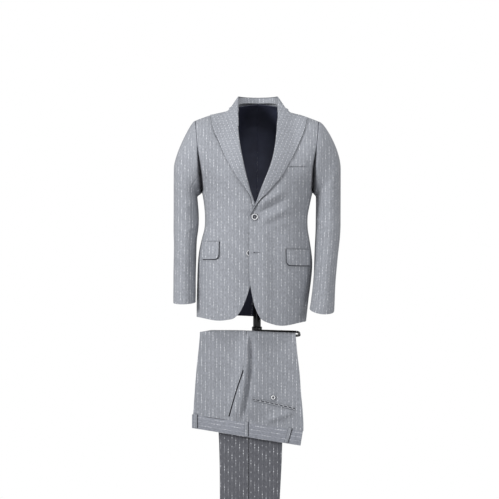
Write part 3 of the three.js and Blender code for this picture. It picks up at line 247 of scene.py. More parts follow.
# soft folds of the front, as x and z of both ends, width and height
DRAG_FOLDS = [
    (-2, -335, 102, -280, 11, 6.5), (4, -357, 114, -304, 8, -4.5), (14, -386, 122, -333, 12, 5.6),
    (-26, -360, -98, -318, 16, 2),
]
# creases that only the cloth shows, with the bow last: of the front, and of the back across the waist,
# under the blades and down the skirt
CREASES = {
    -1: [
        (30, -408, 126, -372, 10, 1.6, 5), (8, -377, 104, -352, 8, 1.2, -5), (34, -300, 108, -246, 12, 1.4, 8),
        (120, -262, 166, -330, 10, 1.6, 6), (132, -246, 172, -292, 8, -1.2, 5), (128, -420, 160, -352, 12, 1.2, -5),
        (-24, -346, -84, -326, 8, 1.1, -3), (-36, -392, -112, -378, 12, 0.9, 5),
        (-122, -270, -160, -345, 12, 1.3, -6), (-150, -215, -168, -262, 7, -1.1, 3),
        (-58, -520, -72, -660, 20, 1.2, 8), (92, -545, 104, -690, 22, 1.4, -8), (30, -500, 48, -655, 16, 1.0, 6),
        (-128, -520, -134, -680, 18, 1.3, -5), (150, -540, 142, -680, 17, 1.2, 5), (150, -92, 178, -190, 12, 1.5, -6),
        (-150, -84, -172, -186, 12, 1.3, 6),
    ],
    1: [
        (-150, -352, -20, -372, 10, 2.2, 7), (152, -346, 34, -380, 11, 2.0, -8), (-140, -392, -36, -401, 9, 1.5, -5),
        (138, -398, 12, -410, 10, 1.7, 6), (-164, -250, -92, -318, 12, 2.1, -9), (164, -240, 88, -306, 13, 2.3, 10),
        (-172, -190, -120, -236, 10, -1.6, 6), (170, -182, 124, -224, 9, -1.5, -6), (-60, -66, 52, -60, 11, 1.6, -9),
        (-70, -470, -84, -690, 26, 2.2, 9), (92, -486, 82, -690, 24, 2.0, -8), (-146, -500, -140, -690, 20, 1.6, 6),
        (144, -520, 150, -690, 18, 1.5, -5), (26, -520, 34, -690, 22, 1.3, 8),
    ],
}

# ---- jacket body


def shoulder_z(out):
    return SHOULDER("z", abs(out)) - SHOULDER_LEAN * out


def rounding(front, out, drop):
    rise = np.where(front, CHEST_RISE, BLADE_RISE)
    far = abs(out)
    front_power = lerp(1.3, 2.1, smooth(far, 110, 215))
    back_power = 1.3 + 1.5 * bell(out / 90) + 0.7 * smooth(far, 90, 215)
    power = np.where(front, front_power, back_power)
    left = 1 - clip(drop, 0, rise) / rise
    return maximum(1 - left ** power, 0) ** (1 / power)


def body_base(angle, z):
    """The body's form without creases; angle 0 at the wearer's left, -90 in front."""
    angle, z = np.broadcast_arrays(np.asarray(angle, float), np.asarray(z, float))
    c, s = cos(radians(angle)), sin(radians(angle))
    front = s < 0
    out = np.sign(c) * BODY("half", z) * abs(c) ** (2 / SIDE_POWER)
    x = BODY("centre", z) + out
    depth = np.where(front, BODY("front", z), BODY("back", z)) * abs(s) ** (2 / DEPTH_POWER)
    share = rounding(front, out, shoulder_z(out) - z)
    fold = np.where(front, folds(x, z, DRAG_FOLDS, -0.1, 0.25, 0.6, 1.1) * abs(s), 0)
    return stack(x, SPINE_Y + np.where(front, -1, 1) * (depth * share + fold), z)


def body_normal(angle, z):
    out = body_base(angle, z)[..., 0] - BODY("centre", z)
    drop = shoulder_z(out) - z
    round_ = body_base(angle + 1, z) - body_base(angle - 1, z)
    up = body_base(angle, z + clip(drop, 0, 2)) - body_base(angle, z - 2)
    return unit(lerp(unit(np.cross(round_, up)), UP, (1 - smooth(drop, 0, 8))[..., None]))


def creases(angle, x, z):
    """Height of the listed creases above the body's form."""
    # slight unevenness all over, in broad waves
    total = 0.45 * sin(x / 31 + z / 67 + 0.7) * sin(z / 43 - x / 90)
    for side_of, table in CREASES.items():
        weight = smooth(side_of * sin(radians(angle)), 0.25, 0.6)
        for crease in table:
            total = total + weight * ridge(x, z, *crease)
    return total * smooth(shoulder_z(x - BODY("centre", z)) - z, 12, 60)


def body_at(angle, z, lift=0.0):
    base = body_base(angle, z)
    height = lift + creases(angle, base[..., 0], z)
    return base + body_normal(angle, z) * height[..., None]


def angle_at(side_of, x, z):
    share = clip((x - BODY("centre", z)) / BODY("half", z), -1, 1)
    return side_of * np.degrees(np.arccos(np.sign(share) * abs(share) ** (SIDE_POWER / 2)))


def front_at(x, z, lift=0.0):
    return body_at(angle_at(-1, x, z), z, lift)


def back_at(x, z, lift=0.0):
    return body_at(angle_at(1, x, z), z, lift)


def armhole_reach(hand, z):
    share = clip((z - ARMPIT_Z) / (SHOULDER_Z - ARMPIT_Z), 0, 1)
    return lerp(ARMPIT_REACH, SHOULDER_REACH, share ** 1.2) - ARMHOLE_IN[hand] * smooth(z, ARMPIT_Z, -190)


def armhole_z(hand, angle):
    """Height at which the armhole crosses an angle round the body, by halving."""
    reach = cos(radians(angle)) ** (2 / SIDE_POWER)
    low, high = np.full(np.shape(angle), float(ARMPIT_Z)), np.full(np.shape(angle), -150.0)
    for _ in range(30):
        middle = (low + high) / 2
        inside = armhole_reach(hand, middle) / BODY("half", middle) > reach
        low, high = np.where(inside, middle, low), np.where(inside, high, middle)
    return low


def outer_point(hand, side_of, row):
    """The boundary of a front (side -1) or back (1) panel: the side seam, then the armhole."""
    seam = SIDE_SEAM[side_of]
    top = float(armhole_z(hand, seam))
    heights = [lerp(hem_z(hand * HEM_REACH), top, v) for v in SEAM_LEVELS]
    heights += [lerp(top, SHOULDER_Z, v) for v in ARMHOLE_LEVELS]
    z = interp(row, LEVELS, heights)
    seam_reach = BODY("half", z) * cos(radians(seam)) ** (2 / SIDE_POWER) - SEAM / 2
    reach = np.where(row <= LOWER, seam_reach, armhole_reach(hand, z))
    return BODY("centre", z) + hand * reach, z


def overlap_lift(x, z):
    """The left front lies over the right one below the lapels."""
    return (1 - smooth(x, 20, 62)) * lerp(3.2, 7.2, smooth(-z, 390, 430)) * smooth(-z, 250, 330)


# distance round the front from the centre line, at chest height
CHEST_Z = -190.0
CHEST_LINE = body_base(linspace(-180, 0, 400), CHEST_Z)
CHEST_LINE = CHEST_LINE[np.argsort(CHEST_LINE[:, 0])]
CHEST_RUN = run_of(CHEST_LINE[:, :2])


def cloth_u(x):
    """Across the cloth: even near the centre and slowly wider than x towards the side."""
    return interp(x, CHEST_LINE[:, 0], CHEST_RUN - interp(0, CHEST_LINE[:, 0], CHEST_RUN))


def rows_of(count):
    """Row numbers from the hem to the shoulder, close together over the shoulder's round."""
    return concatenate([even(count, 20, 0, TOP_ROW - 1), TOP_ROW - (1 - even(26, 8)[1:]) ** 2])[:, None]


def seam_dip(share, width, low=1, depth=0.9):
    """A panel turns in a little along its seams."""
    return -depth * (low * bell(share * width / 1.5) + bell((1 - share) * width / 1.5))


def tuck(z, off):
    """How far back the cloth is drawn beside the lower front of an armhole, at a distance from it."""
    return TUCK_DEPTH * window(-z, 128, 230, 272, 288) * bell(off / lerp(1.3, 6.5, smooth(-z, 135, 262)))


def tucked(hand, p):
    z = maximum(p[..., 2], ARMPIT_Z)
    beside = armhole_reach(hand, z) - hand * (p[..., 0] - BODY("centre", p[..., 2]))
    p[..., 1] += tuck(z, hypot(beside, z - p[..., 2])) * (1 - smooth(p[..., 1], 0, 40))
    return p


def front(hand):
    edge, row = FRONT_EDGE[hand], rows_of(230)
    share = steps(84, 0.004, 0.009, 0.016)[None, :]
    ox, oz = outer_point(hand, -1, row)
    x = lerp(edge("x", row), ox, share)
    z = lerp(edge("z", row), oz, share)
    z = z - FRONT_HEM_SAG[hand] * sin(pi * share) * (1 - share) * clip(1 - row, 0, 1) ** 2
    below = TOP_ROW - 1 - row
    top = clip(-below, 0, 1)
    ridge_z = shoulder_z(x - BODY("centre", z))
    z = lerp(minimum(z, ridge_z - 7 - 22 * maximum(below, 0)), ridge_z, top)
    lift = (overlap_lift(x, z) if hand > 0 else 0) + seam_dip(share, 170, 0) * (1 - top)
    dart_x, dart_top, dart_end = DART[hand]
    fade = window(-z, -dart_top, -dart_top + 25, -dart_end - 25, -dart_end)
    p = tucked(hand, front_at(x, z, lift - 1.1 * fade * bell((x - dart_x) / 1.6)))
    p[-1, :, 1] = minimum(p[-1, :, 1], SPINE_Y - SEAM / 2)
    return p, stack(cloth_u(x), z)


def back(hand):
    row, share = rows_of(170), steps(64, 0.004, 0.009, 0.016)[None, :]
    ox, oz = outer_point(hand, 1, row)
    blade = float(armhole_z(hand, SIDE_SEAM[1]))
    level = interp(row, LEVELS, SEAM_LEVELS + [1] * len(ARMHOLE_LEVELS))
    upper = interp(row, LEVELS, [0] * len(SEAM_LEVELS) + ARMHOLE_LEVELS)
    centre_z = np.where(row > LOWER, lerp(blade, NAPE_Z, upper), lerp(HEM_Z, blade, level))
    x = lerp(BODY("centre", centre_z) + hand * SEAM / 2, ox, share)
    out = x - COLLAR_MIDDLE[0]
    neck = lerp(shoulder_z(NECK_HALF), NAPE_Z, 1 - clip(abs(out) / NECK_HALF, 0, 1) ** 2)
    head = minimum(shoulder_z(out), neck)
    middle_z = np.where(row > LOWER, lerp(blade, head, upper), lerp(hem_z(x), blade, level))
    top = clip(row - (TOP_ROW - 1), 0, 1)
    z = lerp(lerp(middle_z, oz, share ** 3), head, top)
    p = back_at(x, z, seam_dip(share, 170) * (1 - top))
    p[-1, :, 1] = maximum(p[-1, :, 1], SPINE_Y + SEAM / 2)
    return p, stack(cloth_u(x) + 3, z)


def side(hand):
    share = steps(46, 0.006, 0.014, 0.026)[None, :]
    angle = lerp(SIDE_SEAM[-1] + SIDE_GAP, SIDE_SEAM[1] - SIDE_GAP, share)
    z = lerp(hem_z(hand * HEM_REACH), armhole_z(hand, angle), even(150, 20)[:, None])
    p = tucked(hand, body_at(angle if hand > 0 else 180 - angle, z, seam_dip(share, 110)))
    return p, stack((share * 112 + 4) * hand, z)

# ---- lapels and collar


def lapel_lift(share):
    return LAPEL_LIFT + ROLL_LIFT * (1 - share) ** 2 * smooth(share, -0.2, 0.12)


def lapel_point(hand, share, along):
    t = LAPELS[hand]

    def at(share, along):
        return array([lerp(t("roll" + key, along), t("edge" + key, along), share) for key in "XZ"])

    bent = minimum(share / NOTCH_AT, (1 - share) / (1 - NOTCH_AT))
    weight = maximum(bent, 0) * (along / LAPEL_TOP) ** 5
    (x, z), (mx, mz) = at(share, along), array(NOTCH[hand]) - at(NOTCH_AT, LAPEL_TOP)
    return x + mx * weight, z + mz * weight


def lapel_cloth(hand, x, z):
    """Stripes on the lapel and the collar's ends run along the lapel's outer edge."""
    tip, low = array(lapel_point(hand, 1.0, float(LAPEL_TOP))), array(lapel_point(hand, 1.0, 3.0))
    dx, dz = unit(tip - low)
    x, z = x - tip[0], z - tip[1]
    return stack(x * dz - z * dx, x * dx + z * dz)


def lapel(hand):
    """The lapel rolls outwards from the front's edge and lies on it."""
    along = even(120, 20, 0, LAPEL_TOP)[:, None]
    share = np.unique(np.append(even(52, 12), [NOTCH_AT, 0.985, 0.995]))
    turns = radians(linspace(-90, 80, 8))
    (x0, z0), (x1, z1) = lapel_point(hand, 0.0, along), lapel_point(hand, 1.0, along)
    width = hypot(x1 - x0, z1 - z0)
    wide = smooth(width, 8, 40)
    radius = lerp(*LAPEL_ROLL, wide)
    roll = radius * (1 - cos(turns))
    first = minimum(radius / width, 0.9)
    grow = first + (1 - first) * linspace(0, 1, len(share))[None, :]
    fx, fz = lapel_point(hand, grow, along)
    flat = lapel_lift(grow) + LAPEL_BULGE * sin(pi * clip(grow, 0, 1)) * wide
    x, z, lift = (concatenate([a, b[:, 1:]], axis=1) for a, b in (
        (x0 + (x1 - x0) / width * roll, fx), (z0 + (z1 - z0) / width * roll, fz),
        (radius + (radius - 0.2) * sin(turns), flat),
    ))
    lift = lift + (overlap_lift(x, z) if hand > 0 else 0)
    return front_at(x, z, lift), lapel_cloth(hand, x, z)


def collar_points(at):
    a = abs(at)
    return [
        stack(COLLAR_MIDDLE[0] + np.sign(at) * COLLAR(key + "X", a), COLLAR(key + "Y", a), COLLAR(key + "Z", a))
        for key in ("roll", "edge", "seam")
    ]


def clear_of_body(p, lift):
    x, y, z = p[..., 0], p[..., 1], p[..., 2]
    out = x - BODY("centre", z)
    ridge_z = shoulder_z(out)
    lifted = ridge_z + lift * smooth(abs(out), 62, 74)
    z = maximum(z, lerp(z, lifted, 1 - smooth(abs(y - SPINE_Y), 3, 13)))
    above = z >= ridge_z
    low_z = minimum(z, ridge_z - 0.01)
    in_front, behind = minimum(y, front_at(x, low_z, lift)[..., 1]), maximum(y, back_at(x, low_z, lift)[..., 1])
    y = np.where(above, y, np.where(y < SPINE_Y, in_front, behind))
    return stack(x, y, np.where(above, maximum(z, lifted), z))


def gorge_point(hand, share):
    """The seam between the lapel and the collar."""
    t, (nx, nz) = LAPELS[hand], NOTCH[hand]
    x = lerp(t("rollX", LAPEL_TOP), nx, share)
    z = lerp(t("rollZ", LAPEL_TOP), nz, share) + 2 * SEAM
    return front_at(x, z, lapel_lift(share * NOTCH_AT))


def collar_fall():
    at = even(200, 40, -COLLAR_TOP, COLLAR_TOP)[:, None]
    share = even(30, 10)[None, :]
    roll, edge, _ = collar_points(at)
    inward = -unit((roll - COLLAR_MIDDLE) * LEVEL_ONLY)
    outward = unit((roll - COLLAR_MIDDLE) * LEVEL_ONLY + 40 * UP)
    fall = lerp(roll, edge, share[..., None]) + outward * FALL_BULGE * sin(pi * share)[..., None]
    end = smooth(abs(at), COLLAR_TOP - 1, COLLAR_TOP)[..., None]
    gorge = np.where((at > 0)[..., None], gorge_point(1, share), gorge_point(-1, share))
    fall = lerp(clear_of_body(fall, LAPEL_LIFT), gorge, end ** 2)
    # the roll: the cloth turns over the top and a little way down inside
    turns = radians(linspace(-60, 60, 7))[:-1, None]
    top = fall[:, :1] + FALL_ROLL * (inward * (1 - sin(turns)) + UP * (cos(turns) - 1))
    p = concatenate([top, fall], axis=1)
    length = run_of(edge[:, 0])
    uv = stack((length - length[-1] / 2)[:, None], -run_of(p[len(p) // 2])[None, :])
    for hand in HANDS:
        in_front = smooth(hand * at, 2.6, 3.6)[..., None]
        uv = lerp(uv, lapel_cloth(hand, p[..., 0], p[..., 2]), in_front)
    return p, uv


def collar_stand():
    share = even(14, 6, 0.1, 0.86)[None, :, None]
    roll, _, seam = collar_points(even(130, 30, -STAND_TOP, STAND_TOP)[:, None])
    p = lerp(seam, roll, share) - unit((roll - COLLAR_MIDDLE) * LEVEL_ONLY) * STAND_IN
    length = run_of(p[:, 0])
    return p, stack(length[:, None] - length[-1] / 2, share[..., 0] * 30)

# ---- sleeves

# creases as (turn in degrees, row) from and to, width in degrees, height
SLEEVE_CREASES = {
    -1: [
        (150, 1.3, 60, 2.2, 10, 2.2), (165, 2.6, 70, 3.6, 9, 1.9), (160, 4.2, 60, 3.3, 8, 1.6),
        (20, 0.45, 95, 1.3, 12, 1.6), (-40, 0.6, -80, 1.8, 12, 1.8), (-120, 2.2, -60, 3.4, 9, 1.6),
        (100, 4.8, 60, 7.6, 13, 1.2), (30, 5.2, 20, 7.8, 14, 1.2), (-70, 4.2, -60, 7.4, 12, 1.4),
    ],
    1: [
        (148, 1.2, 66, 2.0, 10, 2.2), (168, 2.4, 72, 3.3, 9, 2.1), (158, 4.0, 64, 3.0, 8, 1.7),
        (28, 0.5, 100, 1.4, 12, 1.4), (-46, 0.6, -84, 1.7, 12, 1.8), (-124, 2.4, -66, 3.2, 9, 1.7),
        (108, 4.6, 70, 7.4, 13, 1.3), (36, 5.0, 26, 7.6, 14, 1.1), (-64, 4.4, -56, 7.6, 12, 1.3),
    ],
}


def outward_normals(p, inside):
    n = grid_normals(p)
    return n * np.sign(np.sum(n * (p - inside)))


def armhole_point(hand, turn, sink=0.0, step=SLEEVE_STEP):
    ridge_z = shoulder_z(hand * armhole_reach(hand, SHOULDER_Z))
    z = lerp(ARMPIT_Z, ridge_z - SEAM, (1 + cos(turn)) / 2)
    x = BODY("centre", z) + hand * armhole_reach(hand, z)
    return body_at(angle_at(np.where(sin(turn) >= 0, -1, 1), x, z), z, -sink) + [hand * step, 0, 0]


def sleeve_ring(hand, at, turn):
    t = SLEEVES[hand]
    outer, inner, tilt, middle = t("outer", at), t("inner", at), abs(t("tilt", at)), t("middleY", at)
    y = middle - t("depth", at) * sin(turn)
    rise = CAP_RISE * (1 + cos(turn)) / 2 * (1 - clip(at, 0, 1))
    z = t("z", at) + rise + tilt * (y - middle) - 12 * tilt * cos(turn)
    return stack((outer + inner) / 2 + (outer - inner) / 2 * cos(turn), y, z)


def sleeve_points(hand, turn, along):
    """turn 0 at the outer side, a quarter turn at the front; along 0 to 1 is the sleeve head."""
    start, end = armhole_point(hand, turn), sleeve_ring(hand, 0.0, turn)
    high = (1 + cos(turn)) / 2
    outward = unit(stack(
        hand * (0.55 + 0.45 * high), -0.35 * sin(turn), 0.05 - 0.75 * (1 - high) - 0.33 * high ** 4
    ))
    first = start + outward * lerp(7, CAP_OUT[hand], high)[..., None]
    second = end + UP * lerp(5, CAP_DROP[hand], high)[..., None]
    t = clip(along, 0, 1)[..., None]
    left = 1 - t
    head = left ** 3 * start + 3 * left ** 2 * t * first + 3 * left * t * t * second + t ** 3 * end
    return np.where((along >= 1)[..., None], sleeve_ring(hand, maximum(along - 1, 0), turn), head)


def sleeve(hand, part):
    """The outer side of a part of the sleeve, its uv and the inner side."""
    low, high, columns, width = {
        "top": (SLEEVE_BACK_SEAM, SLEEVE_FRONT_SEAM, 96, 180),
        "under": (SLEEVE_FRONT_SEAM, 360 + SLEEVE_BACK_SEAM, 60, 110),
    }[part]
    share = steps(columns, 0.006, 0.013, 0.022)[None, :]
    along = concatenate([even(46, 12)[:-1] ** 1.3, even(150, 20, 1, SLEEVE_END)])[:, None]
    turn, along = np.broadcast_arrays(lerp(low + SLEEVE_GAP, high - SLEEVE_GAP, share), along)
    around = radians(turn)
    p = sleeve_points(hand, around, along)
    n = outward_normals(p, stack(hand * SLEEVE_MIDDLE, 0, p[..., 2]))
    lift = seam_dip(share, width, depth=0.8) + 0.5 * sin(turn / 34 + along * 1.1) * sin(along * 1.7 - turn / 60)
    for t0, r0, t1, r1, wide, height in SLEEVE_CREASES[hand]:
        for whole in (0, 360):
            lift += ridge((turn - whole) / 50, along, t0 / 50, r0, t1 / 50, r1, wide / 50, height)
    # fullness of the sleeve head, eased into the armhole
    lift += 0.5 * bell((along - 0.16) / 0.12) * sin(around * 15)
    lift *= smooth(along, 0, 0.12) * (1 - 0.7 * smooth(along, 7.3, 8))
    p = p + n * lift[..., None]
    p[..., 1] += tuck(p[:1, :, 2], np.linalg.norm(p - p[:1], axis=-1)) * smooth(sin(around), -0.35, 0.25)
    # the under side starts beside the panels' edges, so no light comes through the seam
    under = p - n * SLEEVE_CLOTH
    under[0] = p[0] + armhole_point(hand, around[0], 2.1, 0.05) - armhole_point(hand, around[0])
    degrees = linspace(-180, 360, 541)
    spread = stack(sin(radians(degrees)), cos(radians(degrees))) * SLEEVE_HALF
    arc = np.cumsum(np.linalg.norm(spread, axis=-1)) * radians(1)
    # stripes stay upright over the head: across by x where it faces front or back, by y at the outer side
    t, ring = SLEEVES[hand], maximum(along - 1, 0)
    outer, inner = t("outer", ring), t("inner", ring)
    across = (p[..., 0] - (outer + inner) / 2) / ((outer - inner) / 2)
    upright = np.degrees(np.arccos(clip(across, -1, 1)))
    upright = np.where(turn <= 0, -upright, np.where(turn <= 180, upright, 360 - upright))
    outside = np.degrees(np.arcsin(clip((t("middleY", ring) - p[..., 1]) / t("depth", ring), -1, 1)))
    aside = abs(sin(around))
    inward = np.where(
        abs(turn) < 90, lerp(outside, upright, smooth(aside, 0.25, 0.7)), lerp(turn, upright, smooth(aside, 0.1, 0.6))
    )
    u = interp(np.where(along < 1, inward, turn), degrees, arc) - interp(0, degrees, arc)
    v = lerp(-run_of(p[:, p.shape[1] // 2])[:, None], p[..., 2], 0.75)
    return p, stack(u, v), under

# ---- flat trims on the jacket


def rounded_patch(near, far, z0, slope, high, lift, corner=0, out_corner=0, columns=60, rows=40, curl=0):
    """A pocket piece on a front, with its lower corners rounded."""
    across, down = steps(columns, 0.006, 0.02, 0.04)[None, :], steps(rows, 0.008, 0.03, 0.06)[:, None]
    x, width = lerp(near, far, across), abs(far - near)
    begin, end = across * width, (1 - across) * width
    cut = sum(r - sqrt(maximum(r * r - maximum(r - d, 0) ** 2, 0)) for r, d in ((corner, begin), (out_corner, end)))
    z = z0 + slope * (x - near) - down * (high - cut)
    edge = bell(begin / 1.2) + bell(end / 1.2) + bell((1 - down) * high / 1.2)
    return front_at(x, z, lift - 0.45 * minimum(edge, 1) + curl * bell(begin / 16) * down ** 2), stack(cloth_u(x), z)

# ---- trousers

ROD_Y, ROD_Z, ROD_SLOPE, ROD_RADIUS = -61, -753, -0.03, 4
WAIST_Z, LEG_END_Z = -1045, -1476
rod_z, waist_seam_z, band_edge_z = straight(ROD_Z, ROD_SLOPE), straight(WAIST_Z, -0.149), straight(-1091.6, -0.163)
FRONT_HANG = Table(
    "z crease seam seat",
    (-750, -186, -33, 128), (-802, -190, -36, 133), (-867, -196, -43, 141), (-932, -201, -51, 146),
    (-982, -204, -57, 151), (-1027, -207, -64, 153.5), (-1070, -210, -67, 151.5),
    (-1115, -211, -70, 143),
)
BACK_HANG = Table(
    "z crease seam seat",
    (-750, -186, -33, 128), (-850, -162, -29, 118), (-960, -136, -27, 98), (-1070, -126, -26, 87),
    (-1180, -122, -26, 82.5), (-1300, -121, -26, 76.5), (-1476, -119, -26, 71),
)
LAYER_STEP = 1.7
INNERMOST = 5.05
LEGS = {                               # how far the outer and the inner layer lie from the rod's axis
    "near": (INNERMOST + 3 * LAYER_STEP, INNERMOST + 2 * LAYER_STEP),
    "far": (INNERMOST, INNERMOST + LAYER_STEP),
}
LEG_WALL = 0.65                        # half a layer of the solids
BAND_THICK, BAND_OUT = 2.0, 0.9
BAND_ENDS = -211, 151, 143.5           # at the fly, and at the side above and below
SAG, CROWN = 7, 2.6                    # at the rod: of the crease's end, and of the cloth's arch over it
POCKET_MOUTH = Table("z x", (-851, -41), (-872, -46), (-932, -66), (-1019, -91))
VALLEY = Table(
    "z x wide deep",
    (-755, -14, 12, 0), (-774, -14, 14, 9), (-860, -15, 16, 13.5), (-930, -23, 18, 15.5), (-990, -33, 18, 12),
    (-1036, -42, 16, 0),
)
HANG_FOLDS = [(-60, -940, -78, -1020, 11, 1.5), (28, -1034, 120, -1004, 11, 6.5)]
# only ridges near the rod, where the layers lie on each other
HANG_CREASES = [
    (-120, -775, -132, -1000, 26, 1.2, 8), (70, -780, 84, -930, 24, 1.3, -7), (20, -985, 112, -1022, 9, 1.3, 5),
    (-96, -930, -150, -1030, 14, 1.2, -6),
]
BEHIND_CREASES = [
    (-90, -800, -70, -1180, 20, 1.6, 8), (30, -790, 22, -1120, 18, 1.4, -6), (-60, -1090, -52, -1420, 16, 1.5, 5),
    (40, -1150, 34, -1450, 15, 1.3, -4), (-96, -1230, -84, -1440, 12, 1.1, -4),
]


def ridges(x, z, table):
    return sum(ridge(x, z, *crease) for crease in table)


def front_folds(x, z, leg="near"):
    """How far the hanging front stands out; the far leg hangs plain."""
    if leg == "far":
        return 0.0 * x
    total = folds(x, z, HANG_FOLDS, -0.05, 0.2, 0.8, 1.1) + ridges(x, z, HANG_CREASES)
    # the deep fold under the rod: the cloth runs down into it and comes back steeply
    off = (x - VALLEY("x", z)) / VALLEY("wide", z)
    down, steep = window(off, -4, -1.1, -1.15, -0.4), window(off, -0.02, 0.16, 0.3, 5.5)
    total = total + VALLEY("deep", z) * (down + 0.85 * steep)
    return total + 0.35 * (1 + sin(x / 23 + z / 71)) * smooth(-z, 790, 860)


def drape(x, reach, z, turn=0.0, where=-1):
    """A point over the rod: where is -1 in front, 0 on the rod (turn in radians), 1 behind."""
    sag, crown, on = SAG * smooth(-x, 142, 190), CROWN * bell((x + 45) / 80), where == 0
    y = ROD_Y + np.where(on, -cos(turn), where) * reach
    return stack(x, y, np.where(on, rod_z(x) + sin(turn) * (reach + crown) - sag, z - sag * smooth(z, -900, -750)))


def leg_panel(leg, part):
    """The outer side of a panel, its uv and the way in which it folds."""
    outer, inner = LEGS[leg]
    fold, radius, middle = np.sign(outer - inner), abs(outer - inner) / 2, (outer + inner) / 2
    hand, edge_name = (-1, "crease") if part == "front" else (1, "seat")
    hanging, turns = even(150, 16), radians(even(26, 9, 0, 180))[1:-1]

    def rows(in_front, over, behind):
        return concatenate([in_front + 0 * hanging, over + 0 * turns, behind + 0 * hanging])[:, None]

    where, level, down, turn = rows(-1, 0, 1), rows(hanging, 1, 1), rows(0, 0, hanging), rows(0, turns, pi)
    rough = np.where(where < 0, lerp(WAIST_Z, ROD_Z, level), lerp(ROD_Z, LEG_END_Z, down))
    seam, edge = (
        np.where(where > 0, BACK_HANG(key, rough), FRONT_HANG(key, rough)) for key in ("seam", edge_name)
    )
    near = seam + hand / 2 * (np.where(where > 0, 1.7, SEAM) if leg == "far" else SEAM)
    edge = edge - hand * (radius + LEG_WALL)
    end = lerp(edge - hand * 4, near, np.where(where < 0, smooth(rough, -870, -800), 1))
    share, bend, back_share = steps(74, 0.006, 0.014, 0.024), radians([60, 30, 0, -30, -60]), even(30, 8)
    x = concatenate([lerp(near, edge, share), edge + hand * radius * cos(bend), lerp(edge, end, back_share)], axis=1)
    reach = concatenate([outer + 0 * share, middle + fold * radius * sin(bend), inner + 0 * back_share])
    on_outer = np.arange(len(reach)) < len(share)
    z = np.where(where < 0, lerp(waist_seam_z(x) + SEAM, rod_z(x), level), lerp(rod_z(x), LEG_END_Z, down))
    behind, groove = ridges(x, z, BEHIND_CREASES), 0.9 * bell((x - near) / 1.5)
    if leg == "far":
        groove = -groove
        behind = -(0.6 * abs(behind) + 2.6 * (1 - bell((x - edge) / 11))) * smooth(-z, 1060, 1140)
    elif part == "front":
        lip = window(-z, 848, 858, 1014, 1022) * bell((x - POCKET_MOUTH("x", z) + 0.6) / 1.5)
        groove = groove + 2 * lip * (where < 0)
    shaped = np.where(where < 0, front_folds(x, z, leg), (where > 0) * behind) * (1 - bell((x - edge) / 7))
    p = drape(x, reach + on_outer * (shaped - groove), z, turn, where)
    return p, stack(np.where(on_outer, x, 2 * edge - x + 5), run_of(p[:, 4])[:, None]), fold


def waistband():
    """One strip round both legs, open at the fly."""
    off = LEG_WALL + BAND_OUT - BAND_THICK / 2
    near, far = LEGS["near"][0] + off, LEGS["far"][0] - off
    middle, radius = (near + far) / 2, (near - far) / 2
    bend, level = radians(linspace(75, -75, 11)), steps(26, 0.03, 0.07)[:, None]
    fly, *side_ends = BAND_ENDS
    end = lerp(*side_ends, level) - radius
    run = lerp(fly, end, even(120, 20))
    x = concatenate([run, end + radius * cos(bend), run[:, ::-1]], axis=1)
    reach = concatenate([near + 0 * run[0], middle + radius * sin(bend), far + 0 * run[0]])
    in_front = (reach > middle) * smooth(end - x, 0, 25)
    # the top edge drops here to bare the band's near-black top rim: a painted shadow line
    slack = 1.4 * window(x, -176, -160, -116, -96) * in_front
    z = lerp(waist_seam_z(x) - SEAM - slack, band_edge_z(x), level)
    pad = 1.5 * sin(pi * level) ** 0.35 + 0.7 * sin(x / 27 + 1) * sin(x / 61)
    return drape(x, reach + pad * in_front, z), stack(level * 44, run_of(stack(x[0], reach)))


def hang_patch(leg, place, lift, under_lift, columns, rows, edge_round=0.5):
    """A piece on the hanging trousers: its two sides and its uv; place gives x and z from shares across and down."""
    across, down = steps(columns, 0.02, 0.06)[None, :], steps(rows, 0.02, 0.05)[:, None]
    x, z = place(across, down)
    out = 1 if leg == "near" else -1
    rim = minimum(bell(across / 0.06) + bell((1 - across) / 0.06), 1)
    outer, inner = (
        drape(x, LEGS[leg][0] + out * (LEG_WALL + off) + front_folds(x, z, leg), z)
        for off in (lift - edge_round * rim, under_lift)
    )
    return outer, inner, stack(x, z)

# ---- meshes


def mesh_object(name, points, faces, materials, kinds=None, uv=None, sharp=42):
    mesh = bpy.data.meshes.new(name)
    mesh.from_pydata((np.asarray(points) * MM).tolist(), [], [tuple(f) for f in faces])
    for material in materials:
        mesh.materials.append(material)
    if kinds is not None:
        mesh.polygons.foreach_set("material_index", np.asarray(kinds, dtype=np.int32))
    if uv is not None:
        layer = mesh.uv_layers.new(name="cloth")
        loops = np.empty(len(mesh.loops), dtype=np.int32)
        mesh.loops.foreach_get("vertex_index", loops)
        layer.data.foreach_set("uv", (np.asarray(uv)[loops] * 0.01).ravel())
    mesh.polygons.foreach_set("use_smooth", np.ones(len(mesh.polygons), dtype=bool))
    mesh.update()
    mesh.set_sharp_from_angle(angle=radians(sharp))
    obj = bpy.data.objects.new(name, mesh)
    bpy.context.scene.collection.objects.link(obj)
    return obj


def settle(obj, slot, *nodes):
    """The piece rides with the root part and stands for its nodes, which are hidden; slot is not used."""
    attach(obj, "root")
    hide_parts(*nodes)
    return obj


def ledge(grid, reach, *sides):
    """Moves chosen borders of an under side outwards, so its rim shows beyond the cloth; with the near-black rim look
    this is a painted shadow line.

    reach may be a list of sizes, evenly spaced from the first row to the last."""
    sizes = np.atleast_1d(reach)
    along = interp(linspace(0, 1, len(grid)), linspace(0, 1, len(sizes)), sizes)[:, None]
    grid = grid.copy()
    for name in sides:
        end, inward, far = {
            "first": (np.s_[:, 0], np.s_[:, 2], along), "last": (np.s_[:, -1], np.s_[:, -3], along),
            "top": (0, 2, sizes[0]), "bottom": (-1, -3, sizes[-1]),
        }[name]
        grid[end] += unit(grid[end] - grid[inward]) * far
    return grid


